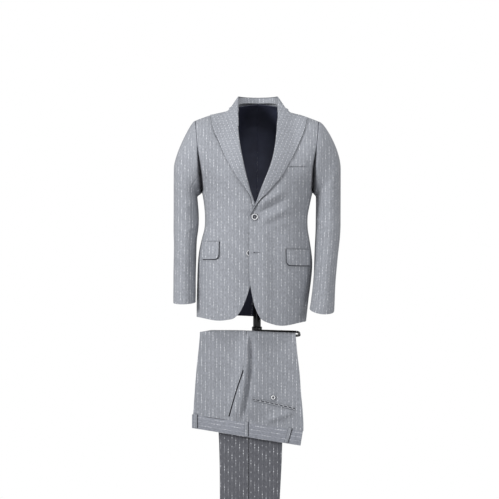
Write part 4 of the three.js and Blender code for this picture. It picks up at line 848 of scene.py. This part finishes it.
def shell(name, outer, inner, uv, looks, rim=0):
    """A thin closed sheet of cloth between two grids of points; rim is the look of its edges.

    Four looks are for the first row, the last row, the last column and the first column."""
    index = np.arange(outer[..., 0].size).reshape(outer.shape[:2])
    count = index.size
    points = concatenate([outer.reshape(-1, 3), inner.reshape(-1, 3)])
    a, b, c, d = index[:-1, :-1], index[:-1, 1:], index[1:, 1:], index[1:, :-1]
    top, under = (np.stack(corners, axis=-1).reshape(-1, 4) for corners in ((a, b, c, d), (a, d, c, b)))
    lines = [index[0], index[-1][::-1], index[:, -1], index[:, 0][::-1]]
    rims = [np.stack([line[1:], line[:-1], line[:-1] + count, line[1:] + count], axis=-1) for line in lines]
    faces = concatenate([top, under + count, *rims])
    v = points[top]
    normal = np.cross(v[:, 1] - v[:, 0], v[:, 3] - v[:, 0])
    if np.sum(normal * (v[:, 0] - points[top[:, 0] + count])) < 0:
        faces = faces[:, ::-1]
    sizes = [len(top)] * 2 + [len(strip) for strip in rims]
    kinds = np.repeat([0, min(len(looks) - 1, 1), *np.broadcast_to(rim, 4)], sizes)
    return mesh_object(name, points, faces, looks, kinds, concatenate([uv.reshape(-1, 2)] * 2))


SHEETS, TRIMS = [], {}


def trim(obj, sheet):
    """A small piece sewn to a sheet of that name."""
    TRIMS.setdefault(sheet, []).append(obj)


def piece(slot, name, outer, inner, uv, looks, node, rim=0, sewn_to=None, **facts):
    """A closed piece of cloth: a trim of the sheet that it is sewn to, or else a sheet of its own."""
    obj = settle(shell(name, outer, inner, uv, looks, rim), slot, node)
    if sewn_to:
        trim(obj, sewn_to)
    else:
        SHEETS.append((obj, outer, facts))


def sheet_facts(obj, outer, held="draped", rests_on=()):
    u, v = np.diff(outer, axis=1) * MM, np.diff(outer, axis=0) * MM
    lengths = [np.linalg.norm(edges, axis=-1).sum(axis=axis).max() for edges, axis in ((u, 1), (v, 0))]
    width, length = (float(np.ceil(size * 200)) / 200 for size in lengths)
    area = float(np.linalg.norm(np.cross(u[:-1], v[:, :-1]), axis=-1).sum())
    area = min(max(round(area, 4), 0.301 * width * length), width * length)

# ---- materials


class Nodes:
    """A material's node tree, built a node at a time."""

    def __init__(self, name):
        self.material = bpy.data.materials.new(name)
        self.material.use_nodes = True
        self.tree = self.material.node_tree

    def give(self, node, values):
        for key, value in values.items():
            if isinstance(value, bpy.types.NodeSocket):
                self.tree.links.new(value, node.inputs[key])
            else:
                node.inputs[key].default_value = value

    def add(self, kind, values=None, **settings):
        """The outputs of a new node of that kind, with its inputs given by values."""
        node = self.tree.nodes.new("ShaderNode" + kind)
        for key, value in settings.items():
            setattr(node, key, value)
        self.give(node, values or {})
        return node.outputs

    def math(self, operation, a, b=0.0, c=0.0, clamp=False):
        return self.add("Math", {0: a, 1: b, 2: c}, operation=operation, use_clamp=clamp)[0]

    def times(self, a, b, plus=None, clamp=False):
        """a times b, plus a third value where one is given."""
        if plus is None:
            return self.math("MULTIPLY", a, b, clamp=clamp)
        return self.math("MULTIPLY_ADD", a, b, plus)

    def ramp(self, value, low, high, out_low=0.0, out_high=1.0):
        ends = {"From Min": low, "From Max": high, "To Min": out_low, "To Max": out_high}
        return self.add("MapRange", {"Value": value, **ends}, interpolation_type="SMOOTHSTEP")["Result"]

    def noise(self, vector, scale, detail=2.0, rough=0.5):
        values = {"Vector": vector, "Scale": scale, "Detail": detail, "Roughness": rough}
        return self.add("TexNoise", values)["Fac"]

    def chance(self, number):
        return self.add("TexWhiteNoise", {"W": number}, noise_dimensions="1D")["Value"]

    def mapping(self, vector, **values):
        return self.add("Mapping", {"Vector": vector, **values})[0]

    def mix(self, factor, a, b, blend="MIX"):
        return self.add("Mix", {0: factor, 6: a, 7: b}, data_type="RGBA", blend_type=blend)[2]

    def place(self):
        return self.add("TexCoord")["Object"]

    def finish(self, color, rough, specular, height, strength, distance, **more):
        """Gives the shader its inputs and a bump; the other inputs come by their own names."""
        values = {"Height": height, "Strength": strength, "Distance": distance}
        shader = {"Base Color": color, "Roughness": rough, "Specular IOR Level": specular}
        shader.update({key.replace("_", " "): value for key, value in more.items()})
        self.give(self.tree.nodes["Principled BSDF"], dict(shader, Normal=self.add("Bump", values)["Normal"]))
        return self.material


def shade(colour, k=1.0):
    return [min(c * k, 1.0) for c in colour] + [1.0]


PITCH = 12.4          # between stripes
STRIPE = 0.95         # half width of a stripe, with its soft edge
BEAD = 9.4            # between the bright stitches of a dash
STRIPE_COLOUR = [0.84, 0.86, 0.90]


def suiting(name, ground, period=6.0, stagger=1.55, dash=0.42, line=0.07, bead=1.1, lattice=False, behind=None):
    """Worsted with a broken pale stripe; the cloth's u runs across the stripes, v along them."""
    n = Nodes(name)
    uv = n.add("UVMap", uv_map="cloth")["UV"]
    xyz = n.add("SeparateXYZ", {"Vector": uv})
    u, v = n.times(xyz["X"], 100.0 / PITCH), n.times(xyz["Y"], 100.0 / BEAD)
    stripe = n.math("FLOOR", u)
    off = n.math("ABSOLUTE", n.math("SUBTRACT", n.math("SUBTRACT", u, stripe), 0.5))
    on_line = n.ramp(off, 0.25 * STRIPE / PITCH, STRIPE / PITCH, 1.0, 0.0)
    if behind:
        # the legs hang the other way up behind the rod, so their dashes climb the other way
        level, reach, deep = behind
        turned = n.ramp(xyz["Y"], level - reach, level + reach)
        stagger = n.times(turned, -2 * stagger, stagger)
    # every stripe starts its dashes a little lower than its neighbour, and none quite evenly
    moved = n.times(n.chance(stripe), 0.0 if lattice else 1.7, n.times(stripe, stagger, v))
    beat = n.math("COSINE", n.times(moved, 2 * pi))
    beads = n.ramp(beat, 0.1, 1.0)
    worn = n.ramp(n.noise(uv, 6.0), 0.35, 0.62, 0.7 if lattice else 0.22, 1.0)
    if lattice:
        shown = n.times(beads, worn)
    else:
        cycle = n.math("FRACT", n.math("DIVIDE", moved, period))
        middle = n.math("ABSOLUTE", n.math("SUBTRACT", cycle, 0.5))
        in_dash = n.ramp(middle, 0.5 * dash - 0.03, 0.5 * dash + 0.05, 1.0, 0.12)
        shown = n.times(n.times(in_dash, n.times(beads, 0.75, 0.25)), worn)
    amount = n.times(n.times(shown, bead, line), on_line, clamp=True)
    if behind:
        # behind the rod their stripes are faint lines with short bright dashes
        chance = n.chance(n.times(stripe, 61.7, n.math("FLOOR", n.math("ADD", moved, 0.5))))
        dot = n.times(n.ramp(off, 0.4 / PITCH, 1.2 / PITCH, 1.0, 0.0), n.ramp(beat, -0.3, 0.7))
        dot = n.times(dot, n.ramp(chance, 0.1, 0.7, 0.25, 1.15))
        bright = n.math("ADD", n.ramp(middle, 0.05, 0.17, 0.8, 0.0), n.ramp(middle, 0.38, 0.47, 0.0, 0.5))
        dots = n.math("MAXIMUM", n.times(dot, bright), n.times(on_line, n.times(in_dash, 0.2, 0.02)))
        amount = n.add("Mix", {0: turned, 2: amount, 3: dots})[0]
    # the ground: mixed dark and pale yarns, some of them a little thick
    spot = n.place()
    yarn, cloud = n.noise(spot, 900.0, 3.0, 0.6), n.noise(spot, 9.0, 3.0, 0.55)
    thread = n.noise(n.mapping(uv, Scale=(260.0, 14.0, 1.0)), 1.0)
    slub = n.noise(n.mapping(uv, Scale=(36.0, 11.0, 1.0)), 1.0, 2.0, 0.65)
    mixed = n.times(slub, 0.85, n.times(yarn, 0.3, n.times(thread, 0.35)))
    mixed = n.times(n.math("SUBTRACT", cloud, 0.5), 0.2, mixed)
    base = n.mix(n.ramp(mixed, 0.42, 1.08), shade(ground, 0.72), shade(ground, 1.3))
    # painted shade: behind the rod the ground is darkened, for the shade the legs hang in behind the front
    if behind:
        base = n.mix(turned, base, n.mix(1.0, base, shade(deep), "MULTIPLY"))
    twill = n.add(
        "TexWave", {"Vector": n.mapping(uv, Rotation=(0, 0, 0.7)), "Scale": 46.0, "Distortion": 1.1, "Detail": 1.0},
        wave_type="BANDS", bands_direction="X",
    )["Fac"]
    height = n.times(amount, 0.35, n.times(yarn, 0.5, n.times(twill, 0.5)))
    return n.finish(
        n.mix(amount, base, shade(STRIPE_COLOUR)), n.ramp(yarn, 0.2, 0.8, 0.78, 0.95), 0.18, height, 0.22, 0.0006,
        Sheen_Weight=0.08, Sheen_Roughness=0.45,
    )


def reverse_cloth(name, colour):
    """The plain inside of the pieces."""
    n = Nodes(name)
    spot = n.place()
    fine, broad = n.noise(spot, 700.0, 3.0, 0.6), n.noise(spot, 24.0, 3.0, 0.5)
    tone = n.ramp(n.times(broad, 0.5, n.times(fine, 0.5)), 0.3, 0.7)
    color = n.mix(tone, shade(colour, 0.75), shade(colour, 1.25))
    return n.finish(color, n.ramp(fine, 0.2, 0.8, 0.5, 0.68), 0.35, fine, 0.12, 0.0003)


def horn(name, colour, shine=1.0):
    n = Nodes(name)
    spot = n.place()
    swirl = n.add("TexWave", {"Vector": spot, "Scale": 190.0, "Distortion": 9.0, "Detail": 2.0})["Fac"]
    scratch = n.noise(spot, 1600.0)
    return n.finish(
        n.mix(swirl, shade(colour, 0.55), shade(colour, 1.45)), n.ramp(scratch, 0.3, 0.7, 0.2, 0.4), 0.6 * shine,
        scratch, 0.08, 0.0002, Coat_Weight=0.5 * shine, Coat_Roughness=0.12,
    )


def thread_and_shadow_look(name, colour, sheen=0.2):
    n = Nodes(name)
    twist = n.add("TexWave", {"Vector": n.place(), "Scale": 900.0, "Distortion": 2.0})["Fac"]
    color = n.mix(twist, shade(colour, 0.7), shade(colour))
    return n.finish(color, 0.8, sheen, twist, 0.3, 0.0002, Sheen_Weight=sheen)


def enamel(name):
    n = Nodes(name)
    spot = n.place()
    peel, wear = n.noise(spot, 260.0), n.ramp(n.noise(spot, 60.0, 5.0, 0.7), 0.62, 0.74)
    color = n.mix(wear, shade([0.006, 0.006, 0.007]), shade([0.02, 0.02, 0.022]))
    return n.finish(
        color, n.ramp(peel, 0.3, 0.7, 0.16, 0.26), 0.5, peel, 0.05, 0.0003, Coat_Weight=0.4, Coat_Roughness=0.08
    )


GROUND = [0.243, 0.254, 0.280]
CLOTH = suiting("jacket cloth", GROUND)
LAPEL_CLOTH = suiting("lapel cloth", GROUND, stagger=0.5, line=0.0, bead=0.75, lattice=True)
TROUSER = suiting(
    "trouser cloth", [0.240, 0.251, 0.277], period=7.0, stagger=1.6, dash=0.44, bead=1.35,
    # the last colour darkens the legs behind the rod: painted shade
    behind=(3.5, 0.5, [0.43, 0.42, 0.43]),
)
BAND_CLOTH = suiting("waistband cloth", [0.235, 0.246, 0.278], period=7.0, stagger=1.9)
INSIDE = reverse_cloth("jacket inside", [0.030, 0.034, 0.060])
TROUSER_INSIDE = reverse_cloth("trouser inside", [0.12, 0.125, 0.14])
HORN_RIM = horn("button rim", [0.60, 0.61, 0.63])
HORN_DARK_AND_SHADOW = horn("button centre and shadow ring", [0.045, 0.046, 0.052], 0.25)
THREAD = thread_and_shadow_look("button thread", [0.22, 0.23, 0.26])
# painted shadow: a near-black rim shown along edges, seams and openings where shade falls
PAINTED_SHADOW_RIM = thread_and_shadow_look("painted shadow rim", [0.012, 0.012, 0.016], 0.0)
ENAMEL = enamel("rod enamel")

# ---- the jacket's pieces

AXIS = array([0.0, 0.0, -300.0])
POCKETS = {
    -1: dict(near=-121, far=-176, z0=-450, slope=0.03, high=55),
    1: dict(near=95, far=171, z0=-474, slope=-0.03, high=51),
}
WELT = dict(near=104, far=161, z0=-186, slope=0.05, high=21, columns=44, rows=16)


def sheet_piece(name, surface, cloth, looks, inside=AXIS, edge=(0,), rim=0, **facts):
    """A sheet of the jacket: cloth thick, and turned outwards along the borders named by edge."""
    p, uv = surface
    inner = ledge(p - outward_normals(p, inside) * cloth, *edge)
    piece("suit_cloth", "jacket_" + name, p, inner, uv, looks, name, rim, **facts)


def pocket_piece(hand, name, node, lifts, edge, **shape):
    (outer, uv), (inner, _) = (rounded_patch(lift=lift, **shape) for lift in lifts)
    # where an edge is given, its ledged rim is near-black: painted shadow under the flap and along the jets
    looks, rim = ([CLOTH, CLOTH, PAINTED_SHADOW_RIM], 2) if edge else ([CLOTH], 0)
    inner = ledge(inner, *(edge or [0]))
    piece("suit_cloth", name, outer, inner, uv, looks, node, rim, sewn_to="jacket_front_" + HANDS[hand])


for hand, word in HANDS.items():
    pocket = POCKETS[hand]
    pocket_piece(
        hand, f"flap_{word}", f"pocket_flap_{word}", (4.2, 1.6), (2.3, "first", "bottom"), **pocket, corner=13,
        out_corner=2.5, curl=3,
    )
    for part, rise, high in ("upper", 4.5, 2.0), ("lower", 2.2, 1.9):
        jet = dict(pocket, z0=pocket["z0"] + rise, high=high, columns=50, rows=6)
        pocket_piece(hand, f"jet_{part}_{word}", f"pocket_jet_{word}", (2.1, 0.5), (1.5, "bottom"), **jet)
    if hand > 0:
        pocket_piece(hand, "breast_pocket_welt", "breast_welt", (2.8, 1.2), None, **WELT)
    looks, beside = [CLOTH, INSIDE], ["front_" + word, "back_" + word]
    for kind, surface, edge, rim, rests_on in (
        ("front_", front(hand), (0,), (0, 1, 1, 0), ["side_" + word]),
        ("side_", side(hand), (0.45, "first", "last"), (0, 1, 1, 1), beside),
        ("back_", back(hand), (0.4, "first", "last"), 1, ["side_" + word]),
    ):
        sheet_piece(kind + word, surface, BODY_CLOTH, looks, edge=edge, rim=rim, rests_on=rests_on)
    # the lapel's outer edge is ledged out with a near-black rim: a painted shadow line beside it
    sheet_piece(
        f"lapel_{word}", lapel(hand), TRIM_CLOTH, [LAPEL_CLOTH, LAPEL_CLOTH, PAINTED_SHADOW_RIM],
        edge=((1.6, -0.6 + 0.2 * hand), "last", "bottom"), rim=2, held="folded", rests_on=["front_" + word],
    )
    for part in ("top", "under"):
        p, uv, under = sleeve(hand, part)
        node = f"sleeve_{word}_{part}"
        piece("suit_cloth", "jacket_" + node, p, under, uv, looks, node, (1, 0, 1, 1), held="hung", rests_on=beside)
for name, surface, look, facts in (
    ("collar_fall", collar_fall(), LAPEL_CLOTH, dict(held="folded", rests_on=["collar_stand"])),
    ("collar_stand", collar_stand(), CLOTH, dict(rests_on=["back_left", "back_right"])),
):
    sheet_piece(name, surface, TRIM_CLOTH, [look, look], COLLAR_MIDDLE, **facts)

# ---- the trousers' pieces

# the legs' seam rims are near-black, painted shadow in the seams; behind the rod they are ledged out to show
SEAM_SHOWS = [0] * 6 + [0.8] * 5       # only behind the rod
for leg in LEGS:
    for part in ("front", "back"):
        p, uv, fold = leg_panel(leg, part)
        node = f"leg_{leg}_{part}"
        away = grid_normals(p)
        if away[len(p) // 4, 2, 1] * fold > 0:
            away = -away
        under = ledge(p - away * TROUSER_CLOTH, SEAM_SHOWS if leg == "far" else 0, "first")
        piece(
            "trouser_cloth", "trouser_" + node, p, under, uv, [TROUSER, TROUSER_INSIDE, PAINTED_SHADOW_RIM], node, (1, 1, 1, 2),
            rests_on=["trouser_rod"],
        )
p, uv = waistband()
under = p - outward_normals(p, array([0, ROD_Y, -1080])) * BAND_THICK
# its top rim is near-black, a painted shadow line where it meets the legs
piece(
    "trouser_cloth", "trouser_waistband", p, under, uv, [BAND_CLOTH, TROUSER_INSIDE, PAINTED_SHADOW_RIM], "waistband",
    (2, 0, 0, 0), held="folded", rests_on=["leg_near_front", "leg_near_back"],
)


def hang_piece(name, node, sheet, patch, edge, shift=(0, 0), slant=0):
    outer, inner, uv = patch
    uv = uv + shift + slant * uv[..., 1:] * [1, 0]
    # the ledged rim is near-black: painted shadow beside the belt loops and in the pocket mouths
    looks = [TROUSER, TROUSER, PAINTED_SHADOW_RIM]
    piece("trouser_cloth", name, outer, ledge(inner, *edge), uv, looks, node, 2, "trouser_" + sheet)


LOOP_WIDTH = 10
for number, leg, loop_x, lean in (
    (1, "near", -199, 0), (2, "near", -33, 0), (3, "near", 110, -14), (4, "far", -33, 0), (5, "far", 110, -14)
):
    def on_band(across, down):
        x = loop_x + LOOP_WIDTH * (across - 0.5) + lean * down
        return x, lerp(waist_seam_z(x) + 4, band_edge_z(x) + 3, down)

    arch = 0.9 * sin(pi * steps(30, 0.02, 0.05)[:, None]) ** 0.4
    patch = hang_patch(leg, on_band, 2.2 + arch, 1.0 + arch, 12, 30)
    hang_piece(f"belt_loop_piece_{number}", f"belt_loop_{number}", "waistband", patch, (1.9, "last"), (loop_x, 0))


def mouth_strip(across, down):
    z = lerp(-868, -1019, down)
    return POCKET_MOUTH("x", z) - 1.2 - 3.4 * across, z


patch = hang_patch("near", mouth_strip, 1.3, 0.2, 8, 120)
hang_piece("slash_pocket_lip", "slash_pocket_edge", "leg_near_front", patch, (3.6, "first"))
back_pocket_z = straight(-958.92, -0.24)         # the upper edge of its mouth
for row, word in enumerate(("upper", "lower")):
    def jet_strip(across, down):
        x = lerp(-12, 124, across)
        return x, back_pocket_z(x) - 6 * row - 3.6 * down

    patch = hang_patch("near", jet_strip, 1.9, 0.4, 90, 8, 0.6)
    hang_piece(
        f"back_pocket_lip_{word}", f"back_pocket_jet_{word}", "leg_near_back", patch, (2.8 - 2 * row, "bottom"),
        slant=0.9,
    )

# ---- buttons


def circle(sides):
    return linspace(0, 2 * pi, sides, endpoint=False)


def turned(profile, sides, centre=(0, 0)):
    """Rings of a turned shape about Z, as points."""
    (r, h), turn = array(profile).T[..., None], circle(sides)
    return stack(centre[0] + r * cos(turn), centre[1] + r * sin(turn), h).reshape(-1, 3).tolist()


def grid_faces(rows, columns, start=0, wrap=True):
    """Faces between rows of points, which close into rings where they wrap."""
    i, j = np.mgrid[:rows - 1, :columns - (not wrap)]
    a, k = start + i * columns, (j + 1) % columns
    return np.stack([a + j, a + k, a + columns + k, a + columns + j], axis=-1).reshape(-1, 4).tolist()


def button(name, node, point, normal, radius, turn=0.0):
    """A turned button with a rounded rim, a dish, four holes and its crossed thread."""
    sides, hole_sides, thick = 48, 24, 0.3 * radius
    dish = radius * (0.7 if radius > 9 else 0.52)
    hole, spread, deep = radius * 0.135, radius * 0.27, 0.9
    outline = [
        (0.001, 0), (radius + 0.3, 0), (radius + 0.9, 0.25), (radius + 0.8, 0.9), (radius, thick - 1.5),
        (radius - 0.5, thick - 0.6), (radius - 1.0, thick), (radius - 1.7, thick + 0.05),
        (dish + 0.5, thick - 0.25), (dish, thick - 0.75), (dish - 0.9, thick - 1.0),
        (0.56 * dish + 1.2, thick - 1.08),
    ]
    rim, face_z = range(4 * sides, 9 * sides), outline[-1][1]
    points, faces = turned(outline, sides), grid_faces(len(outline), sides)
    # only the top rim takes the pale look; the outer wall, which bulges past it, takes the dark centre's look as a
    # painted shadow ring round the button
    kinds = [int(f[0] not in rim) for f in faces]
    last, middle = len(points) - sides, len(points) + 2 * hole_sides + 1
    corners = pi / 2 * np.arange(4) + pi / 4
    for k, angle in enumerate(corners):
        x, y, top = spread * cos(angle), spread * sin(angle), len(points)
        around = angle + linspace(-0.75 * pi, 1.25 * pi, hole_sides, endpoint=False)
        for down, r in (0.0, hole), (deep, 0.9 * hole):
            points += [[x + r * cos(t), y + r * sin(t), face_z - down] for t in around]
        points.append([x, y, face_z - deep])
        for a, b, c, d in grid_faces(2, hole_sides, top):
            faces += [(a, b, c, d), (d, c, top + 2 * hole_sides)]
            kinds += [1, 2]
        if k == 0:
            points.append([0, 0, face_z])
        # a quarter of the face: its outer arc, the two radii and the hole
        loop = [middle, *(last + (12 * k + j) % sides for j in range(13))]
        flat = array(points)[:, :2]
        nearest = [int(np.argmin(np.linalg.norm(flat[top:top + hole_sides] - flat[q], axis=1))) for q in loop]
        for a, b, begin, end in zip(loop, loop[1:] + loop[:1], nearest, nearest[1:] + nearest[:1]):
            run = (end - begin) % hole_sides
            walk = [begin, end] if run > 15 else [(begin + s) % hole_sides for s in range(run + 1)]
            faces.append((a, b, *(top + w for w in reversed(walk))))
            kinds.append(1)
    # two crossed pairs of thread bars through the holes
    bars, bar_faces, share, around = [], [], linspace(-1, 1, 9)[:, None, None], circle(8)[:, None]
    for k in range(2):
        along = array([cos(corners[k]), sin(corners[k]), 0])
        across = array([-along[1], along[0], 0])
        height = face_z + (0.42 + 0.12 * k) * (1 - share ** 6) - 0.25 * share ** 6
        for shift in (-0.34, 0.34):
            start = len(bars)
            line = along * share * spread + across * shift * radius * 0.09 + UP * height
            bars += (line + 0.036 * radius * (across * cos(around) + UP * sin(around))).reshape(-1, 3).tolist()
            bar_faces += grid_faces(9, 8, start) + [range(start + 7, start - 1, -1), range(start + 64, start + 72)]
    x = unit(np.cross([0, 0, 1.0], normal))
    y = np.cross(normal, x)
    basis = array([cos(turn) * x + sin(turn) * y, cos(turn) * y - sin(turn) * x, normal])
    for title, made, *rest in (
        (name, points, faces, [HORN_RIM, HORN_DARK_AND_SHADOW, THREAD], kinds, None, 50),
        (name + "_thread", bars, bar_faces, [THREAD]),
    ):
        settle(mesh_object(title, array(made) @ basis + point, *rest), "buttons", node)


FRONT_RADIUS, CUFF_RADIUS, BACK_RADIUS = 10.2, 7.0, 7.2
CUFF_FIRST, CUFF_STEP = 24, 14.5       # from the cuff's end to the first button, and on to the next
CUFF_TURN = radians(SLEEVE_BACK_SEAM + (SLEEVE_FRONT_SEAM - SLEEVE_BACK_SEAM) / 9)
for word, number, x, z, lift, turn in ("upper", 1, -6.5, -369.0, 5.0, 0.35), ("lower", 2, -23.0, -486.0, 0.6, 0.2):
    normal = body_normal(angle_at(-1, x, z), z)
    button("front_button_" + word, f"front_button_{number}", front_at(x, z, lift), normal, FRONT_RADIUS, turn)
for hand, word in HANDS.items():
    def spot(along, round_=0.0):
        return sleeve_points(hand, array(CUFF_TURN + round_), array(float(along)))

    row_high = np.linalg.norm(spot(SLEEVE_END - 1) - spot(SLEEVE_END))
    for k in range(4):
        along = SLEEVE_END - (CUFF_FIRST + CUFF_STEP * k) / row_high
        across, up = spot(along, 0.05) - spot(along, -0.05), spot(along - 0.05) - spot(along + 0.05)
        normal = unit(np.cross(up, across) * hand)
        name, node = (f"cuff_button_{kind}{word}_{k + 1}" for kind in ("piece_", ""))
        button(name, node, spot(along) + normal * 0.5, normal, CUFF_RADIUS, 0.3 + 0.4 * k)
reach = LEGS["near"][0] + LEG_WALL + front_folds(54.0, -957.0)
button("back_pocket_button_piece", "back_pocket_button", [54, ROD_Y - reach - 1.6, -957], [0, -1, 0], BACK_RADIUS, 0.5)

# ---- the trouser rod, stitches and the buttonhole


def tube(path, radius, sides=28, end_round=1.0):
    """A round bar along a path, with rounded ends, as points and faces."""
    path = np.asarray(path, float)
    along = unit(np.gradient(path, axis=0))
    across = unit(np.cross([0, 0, 1.0], along))
    up, inner, near = np.cross(along, across), len(path) - 2, max(radius - 0.4 * end_round, 0.05)
    at = np.r_[[0] * 3, 1:inner + 1, [-1] * 3]
    back = end_round * np.r_[0, 0.3, 1, [0] * inner, -1, -0.3, 0]
    size = np.r_[0.02, near, [radius] * (inner + 2), near, 0.02]
    turn = circle(sides)[:, None]
    rings = across[at][:, None] * cos(turn) + up[at][:, None] * sin(turn)
    points = (path[at] + along[at] * back[:, None])[:, None] + rings * size[:, None, None]
    return points.reshape(-1, 3).tolist(), grid_faces(len(at), sides)


PALE = thread_and_shadow_look("pocket stitches", [0.52, 0.53, 0.56])
points, faces = [], []
for k in range(9):
    centre, share = -3 + 15 * k, linspace(-1, 1, 7)
    x, z = centre + 2.4 * share, back_pocket_z(centre) - 4.9 - 3.0 * share
    bar, made = tube(stack(x, ROD_Y - LEGS["near"][0] - 2.7 - front_folds(x, z), z), 0.8, 8, 0.4)
    faces += [[len(points) + q for q in f] for f in made]
    points += bar
stitches = mesh_object("back_pocket_stitches", points, faces, [PALE])
trim(settle(stitches, "trouser_cloth", "back_pocket_jet_lower"), "trouser_leg_near_back")


def buttonhole(name, node, x0, z0, length, lift):
    """A keyhole buttonhole: a round eye and a slot, with thread worked round them."""
    eye, half = 1.9, 0.65
    turns = radians(linspace(22, 338, 22))
    line = [(x0 + eye * cos(a), z0 + eye * sin(a)) for a in turns]
    line += [(x0 + length - 1, z0 - half), (x0 + length, z0), (x0 + length - 1, z0 + half), line[0]]
    x, z = array(line).T
    points, faces = tube(front_at(x, z, lift + 0.35 + overlap_lift(x, z)), 0.6, 10, 0.3)
    # the slot: a near-black sheet on the cloth, painted shade in the opening
    across = linspace(-eye, length, 40)
    reach = maximum(sqrt(maximum(eye ** 2 - across ** 2, 0)), np.where(across > 0, half, 0))
    x, z = x0 + across + np.zeros((2, 1)), z0 + reach * array([[1], [-1]])
    cut, cut_faces = front_at(x, z, lift + 0.3 + overlap_lift(x, z)), grid_faces(2, 40, len(points), wrap=False)
    kinds = [0] * len(faces) + [1] * len(cut_faces)
    obj = mesh_object(name, points + cut.reshape(-1, 3).tolist(), faces + cut_faces, [THREAD, PAINTED_SHADOW_RIM], kinds)
    return settle(obj, "suit_cloth", node)


trim(buttonhole("lower_buttonhole", "front_left", -8.5, -484.5, 17, 0.3), "jacket_front_left")
for obj, outer, facts in SHEETS:
    sheet_facts(obj, outer, **facts)
ROD_LEFT, ROD_RIGHT, REAR_Y, REAR_Z, CORNER = -141, 141, -1.6, -744.5, 15
POST_X, POST_Y, POST_TOP, POST_FOOT, RING_Z = 1.7, 20, -655, -792, -745
bend = [
    (ROD_RIGHT - CORNER + CORNER * cos(a), middle + CORNER * sin(a))
    for middle, first in ((REAR_Y - CORNER, 90), (ROD_Y + CORNER, 0))
    for a in radians(linspace(first, first - 90, 14))
]
x, y = array([
    (POST_X, REAR_Y), (40, REAR_Y), (90, REAR_Y), *bend, (60, ROD_Y), (-40, ROD_Y), (ROD_LEFT, ROD_Y)
]).T
points, faces = tube(stack(x, y, lerp(ROD_Z, REAR_Z, (y - ROD_Y) / (REAR_Y - ROD_Y)) + ROD_SLOPE * x), ROD_RADIUS)
settle(mesh_object("rod_bar", points, faces, [ENAMEL]), "rod_enamel", "trouser_rod")
POST_EDGE = [(12, 0), (12.7, 0.3), (13, 1)]        # as radius and distance from its end
post = [(0.02, POST_FOOT), *((r, POST_FOOT + h) for r, h in POST_EDGE)]
post += [*((r, POST_TOP - h) for r, h in POST_EDGE[::-1]), (0.02, POST_TOP)]
ring = [(13.3, -11), (14, -12), (16, -12), (16.7, -11.7), (17, -11)]
ring = [(r, RING_Z + h) for r, h in ring + [(r, -h) for r, h in ring[::-1]] + ring[:1]]
for name, node, profile in ("rod_post_tube", "rod_post", post), ("rod_collar_ring", "rod_collar", ring):
    made = turned(profile, 56, (POST_X, POST_Y)), grid_faces(len(profile), 56)
    settle(mesh_object(name, *made, [ENAMEL], sharp=35), "rod_enamel", node)

# ---- camera, floor and light

scene = bpy.context.scene
camera = bpy.data.objects.new("camera", bpy.data.cameras.new("camera"))
camera.data.lens, camera.data.sensor_width, camera.data.clip_end = 77.99, 36, 50
camera.location, camera.rotation_euler = (-0.0233, -3.6, -0.4745), (pi / 2, 0, 0)
scene.collection.objects.link(camera)
scene.camera = camera

AMBIENT = 0.40
world = bpy.data.worlds.new("studio")
world.use_nodes = True
tree = world.node_tree
sky = tree.nodes["Background"]
ray, level = tree.nodes.new("ShaderNodeLightPath"), tree.nodes.new("ShaderNodeMapRange")
# a white ground behind the object, and a softer light from all round
level.inputs["To Min"].default_value, level.inputs["To Max"].default_value = AMBIENT, 1.0
tree.links.new(ray.outputs["Is Camera Ray"], level.inputs["Value"])
tree.links.new(level.outputs["Result"], sky.inputs["Strength"])
sky.inputs["Color"].default_value = (1, 1, 1, 1)
scene.world = world
scene.view_settings.view_transform = "Standard"

FLOOR_Z = -1.482
floor_mesh = bpy.data.meshes.new("floor")
floor_mesh.from_pydata([(x, y, FLOOR_Z) for x, y in ((-2, -2), (2, -2), (2, 0.6), (-2, 0.6))], [], [(0, 1, 2, 3)])
floor = bpy.data.objects.new("floor", floor_mesh)
scene.collection.objects.link(floor)
look = Nodes("floor")
look.give(look.tree.nodes["Principled BSDF"], {"Base Color": [0.85, 0.85, 0.86, 1.0], "Roughness": 0.6})
floor_mesh.materials.append(look.material)

for name, place, target, size, power in (
    ("key", (-2.0, -1.6, 0.2), (0, 0, -0.5), (0.6, 0.6), 53),
    ("fill", (2.1, -1.5, 0.1), (0.1, 0, -0.3), (1.0, 1.2), 16),
    ("top", (0.1, -1.1, 1.4), (0, 0, -0.3), (0.8, 0.5), 20),
):
    light = bpy.data.lights.new(name, "AREA")
    light.shape, light.size, light.size_y, light.energy = "RECTANGLE", *size, power
    obj = bpy.data.objects.new(name, light)
    x, y, z = array(target) - array(place)
    obj.location = place
    obj.rotation_euler = (np.arctan2(hypot(x, y), -z), 0, np.arctan2(y, x) - pi / 2)
    scene.collection.objects.link(obj)
